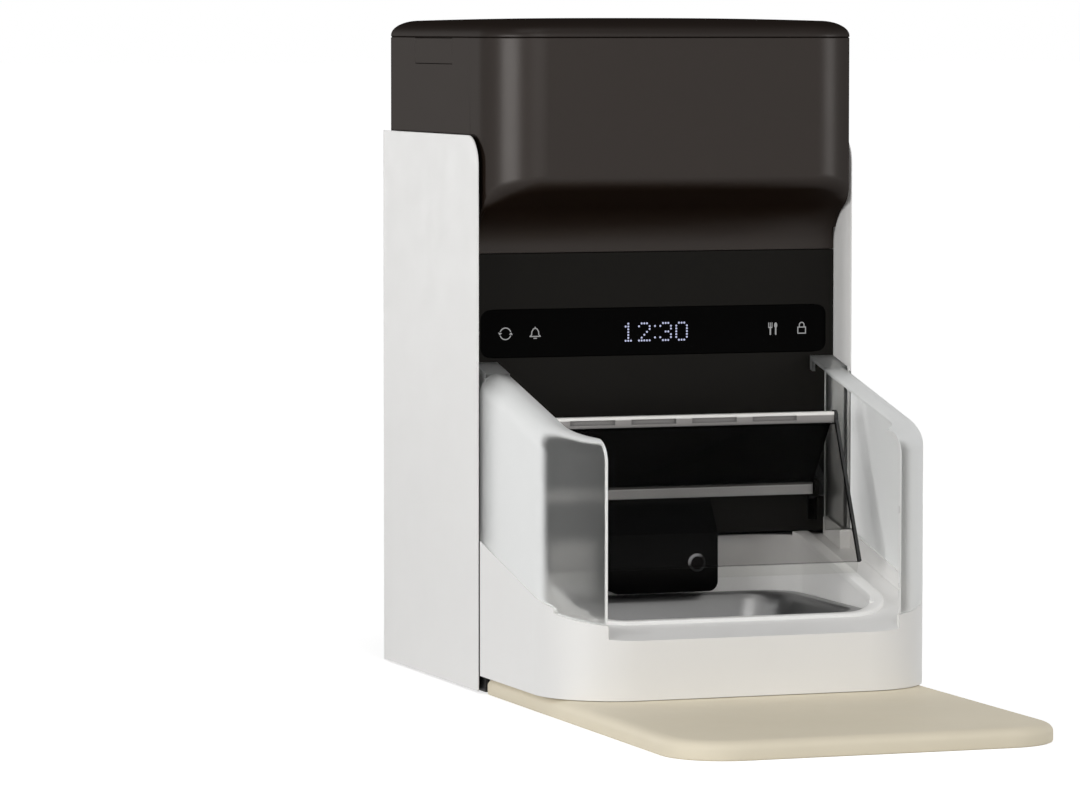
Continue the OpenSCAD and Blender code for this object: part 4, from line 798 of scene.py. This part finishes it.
def icons():
    cx, cz, r, head = -OUTER_ICON_X, ICON_Z, 2.9, 1.0
    arrows = []
    for a0 in (20, 200):
        arc = sweep(a0, a0 + 140, 10)
        arrows += stroke([(cx + r * math.cos(a), cz + r * math.sin(a)) for a in arc], LINE)
        c, s = math.cos(math.radians(a0 + 150)), math.sin(math.radians(a0 + 150))
        x, z = cx + r * c, cz + r * s
        arrows.append([(x + head * c, z + head * s), (x - head * c, z - head * s),
                       (x - 1.2 * s, z + 1.2 * c)])
    on_lens("icon_refresh", arrows, "icons_lit")

    x, z = -INNER_ICON_X, ICON_Z
    half = [(2.8, -1.6), (1.9, -0.8), (1.8, 0.7), (1.0, 2.1)]
    bell = stroke([(x - dx, z + dz) for dx, dz in half] + [(x, z + 2.5)]
                  + [(x + dx, z + dz) for dx, dz in reversed(half)], LINE, True)
    bell += stroke([(x - 0.8, z - 2.5), (x + 0.8, z - 2.5)], LINE)
    bell += stroke([(x, z + 2.5), (x, z + 3.1)], LINE)
    on_lens("icon_bell", bell, "icons_lit")

    fork, spoon, handle = INNER_ICON_X - 1.4, INNER_ICON_X + 1.5, 0.75
    tools = stroke([(fork, z - 3.0), (fork, z + 0.4)], handle)
    for dx in (-0.9, 0.0, 0.9):
        tools += stroke([(fork + dx, z + 0.6), (fork + dx, z + 3.0)], 0.42)
    tools += stroke([(fork - 0.9, z + 0.6), (fork + 0.9, z + 0.6)], 0.6)
    tools += stroke([(spoon, z - 3.0), (spoon, z + 0.6)], handle)
    tools.append([(spoon + 0.85 * math.cos(a), z + 1.7 + 1.4 * math.sin(a)) for a in sweep(0, 345, 15)])
    on_lens("icon_cutlery", tools, "icons_lit")

    x, body_w, bow, foot, shoulder = OUTER_ICON_X, 2.1, 1.3, ICON_Z - 2.6, ICON_Z + 0.5
    lock = stroke([(x - body_w, foot), (x + body_w, foot), (x + body_w, shoulder), (x - body_w, shoulder)],
                  LINE, True)
    lock += stroke([(x - bow, shoulder)]
                   + [(x + bow * math.cos(a), z + 1.6 + bow * math.sin(a)) for a in sweep(180, 0, 10)]
                   + [(x + bow, shoulder)], LINE)
    on_lens("icon_lock", lock, "icons_lit")


for side in (-1, 1):
    guard(side)
for side in (-1, 1):
    panel(side)
lens()
tray_rail()
lid()
tank()
mat()
bowl()
clock()
icons()


# Floor, world, lamps and camera, in metres.
FLOOR_HALF = 40
FLOOR_COLOR = srgb(222, 222, 222)
# The floor glows more from one distance to another, so that no horizon shows.
FLOOR_GLOW, GLOW_REACH = (0.7, 0.84), (0.7, 3.0)
WORLD_LIGHT, WORLD_SEEN = 0.26, 1.0
LAMPS = (
    # name, place, aim, width and height, watts
    ("key", (-1.9, -0.9, 0.4), (0, 0, 0.25), (1.3, 0.6), 18),
    ("top", (-0.3, -0.6, 2.4), (0, 0, 0.1), (1.6, 1.6), 11.5),
    ("fill", (-0.3, -2.7, 1.0), (0, 0, 0.15), (1.4, 1.4), 13),
    ("side", (1.8, -1.05, 0.4), (0, 0, 0.25), (0.8, 0.6), 6.5),
    ("back", (-0.9, 2.4, 0.5), (0, 0, 0.2), (1.2, 1.4), 6),
)


def seen_directly(t):
    """1 for rays from the camera, in reflections and through clear parts, otherwise 0."""
    path = t.nodes.new("ShaderNodeLightPath")
    total = path.outputs["Is Camera Ray"]
    for ray in ("Is Glossy Ray", "Is Transmission Ray"):
        either = t.nodes.new("ShaderNodeMath")
        either.operation = "ADD"
        either.use_clamp = True
        t.links.new(total, either.inputs[0])
        t.links.new(path.outputs[ray], either.inputs[1])
        total = either.outputs[0]
    return total


def ground():
    s = FLOOR_HALF
    me = bpy.data.meshes.new("floor")
    me.from_pydata([(-s, -s, 0), (s, -s, 0), (s, s, 0), (-s, s, 0)], [], [(0, 1, 2, 3)])
    o = bpy.data.objects.new("floor", me)
    bpy.context.scene.collection.objects.link(o)
    g = Graph("floor")
    matt = g.node("ShaderNodeBsdfDiffuse")
    g.link(g.mix(g.noise(2, 2), scaled(FLOOR_COLOR, 0.99), FLOOR_COLOR), matt.inputs["Color"])
    glow = g.node("ShaderNodeEmission", Color=(1, 1, 1, 1))
    strength = g.spread(g.vector_math("LENGTH", g.coord), *FLOOR_GLOW, *GLOW_REACH)
    g.link(g.math("MULTIPLY", seen_directly(g.t), strength), glow.inputs["Strength"])
    both = g.t.nodes.new("ShaderNodeAddShader")
    g.feed(both.inputs, (matt.outputs[0], glow.outputs[0]))
    me.materials.append(g.finish(both))


def world():
    w = bpy.data.worlds.new("studio")
    bpy.context.scene.world = w
    w.use_nodes = True
    t = w.node_tree
    t.nodes.clear()
    out = t.nodes.new("ShaderNodeOutputWorld")
    both = t.nodes.new("ShaderNodeMixShader")
    t.links.new(seen_directly(t), both.inputs[0])
    for slot, strength in ((1, WORLD_LIGHT), (2, WORLD_SEEN)):
        sky = t.nodes.new("ShaderNodeBackground")
        sky.inputs["Color"].default_value = (1, 1, 1, 1)
        sky.inputs["Strength"].default_value = strength
        t.links.new(sky.outputs[0], both.inputs[slot])
    t.links.new(both.outputs[0], out.inputs["Surface"])


def lamps():
    for name, place, aim, size, watts in LAMPS:
        d = bpy.data.lights.new(name, "AREA")
        d.shape = "RECTANGLE"
        d.size, d.size_y = size
        d.energy = watts
        o = bpy.data.objects.new(name, d)
        o.location = place
        o.rotation_mode = "QUATERNION"
        o.rotation_quaternion = (Vector(aim) - Vector(place)).to_track_quat("-Z", "Y")
        bpy.context.scene.collection.objects.link(o)


def camera():
    """The photo's view: solved from its straight edges."""
    cd = bpy.data.cameras.new("camera")
    cd.lens = 183.7
    cd.sensor_width = 36
    cd.clip_start, cd.clip_end = 0.1, 100
    o = bpy.data.objects.new("camera", cd)
    o.location = P(-976.8, -2567.3, 332.2)
    down, tilt, turn = 3.87, -0.018, -19.49
    o.rotation_euler = (math.radians(90 - down), math.radians(tilt), math.radians(turn))
    bpy.context.scene.collection.objects.link(o)
    bpy.context.scene.camera = o


ground()
world()
lamps()
camera()
bpy.context.scene.view_settings.view_transform = "Standard"
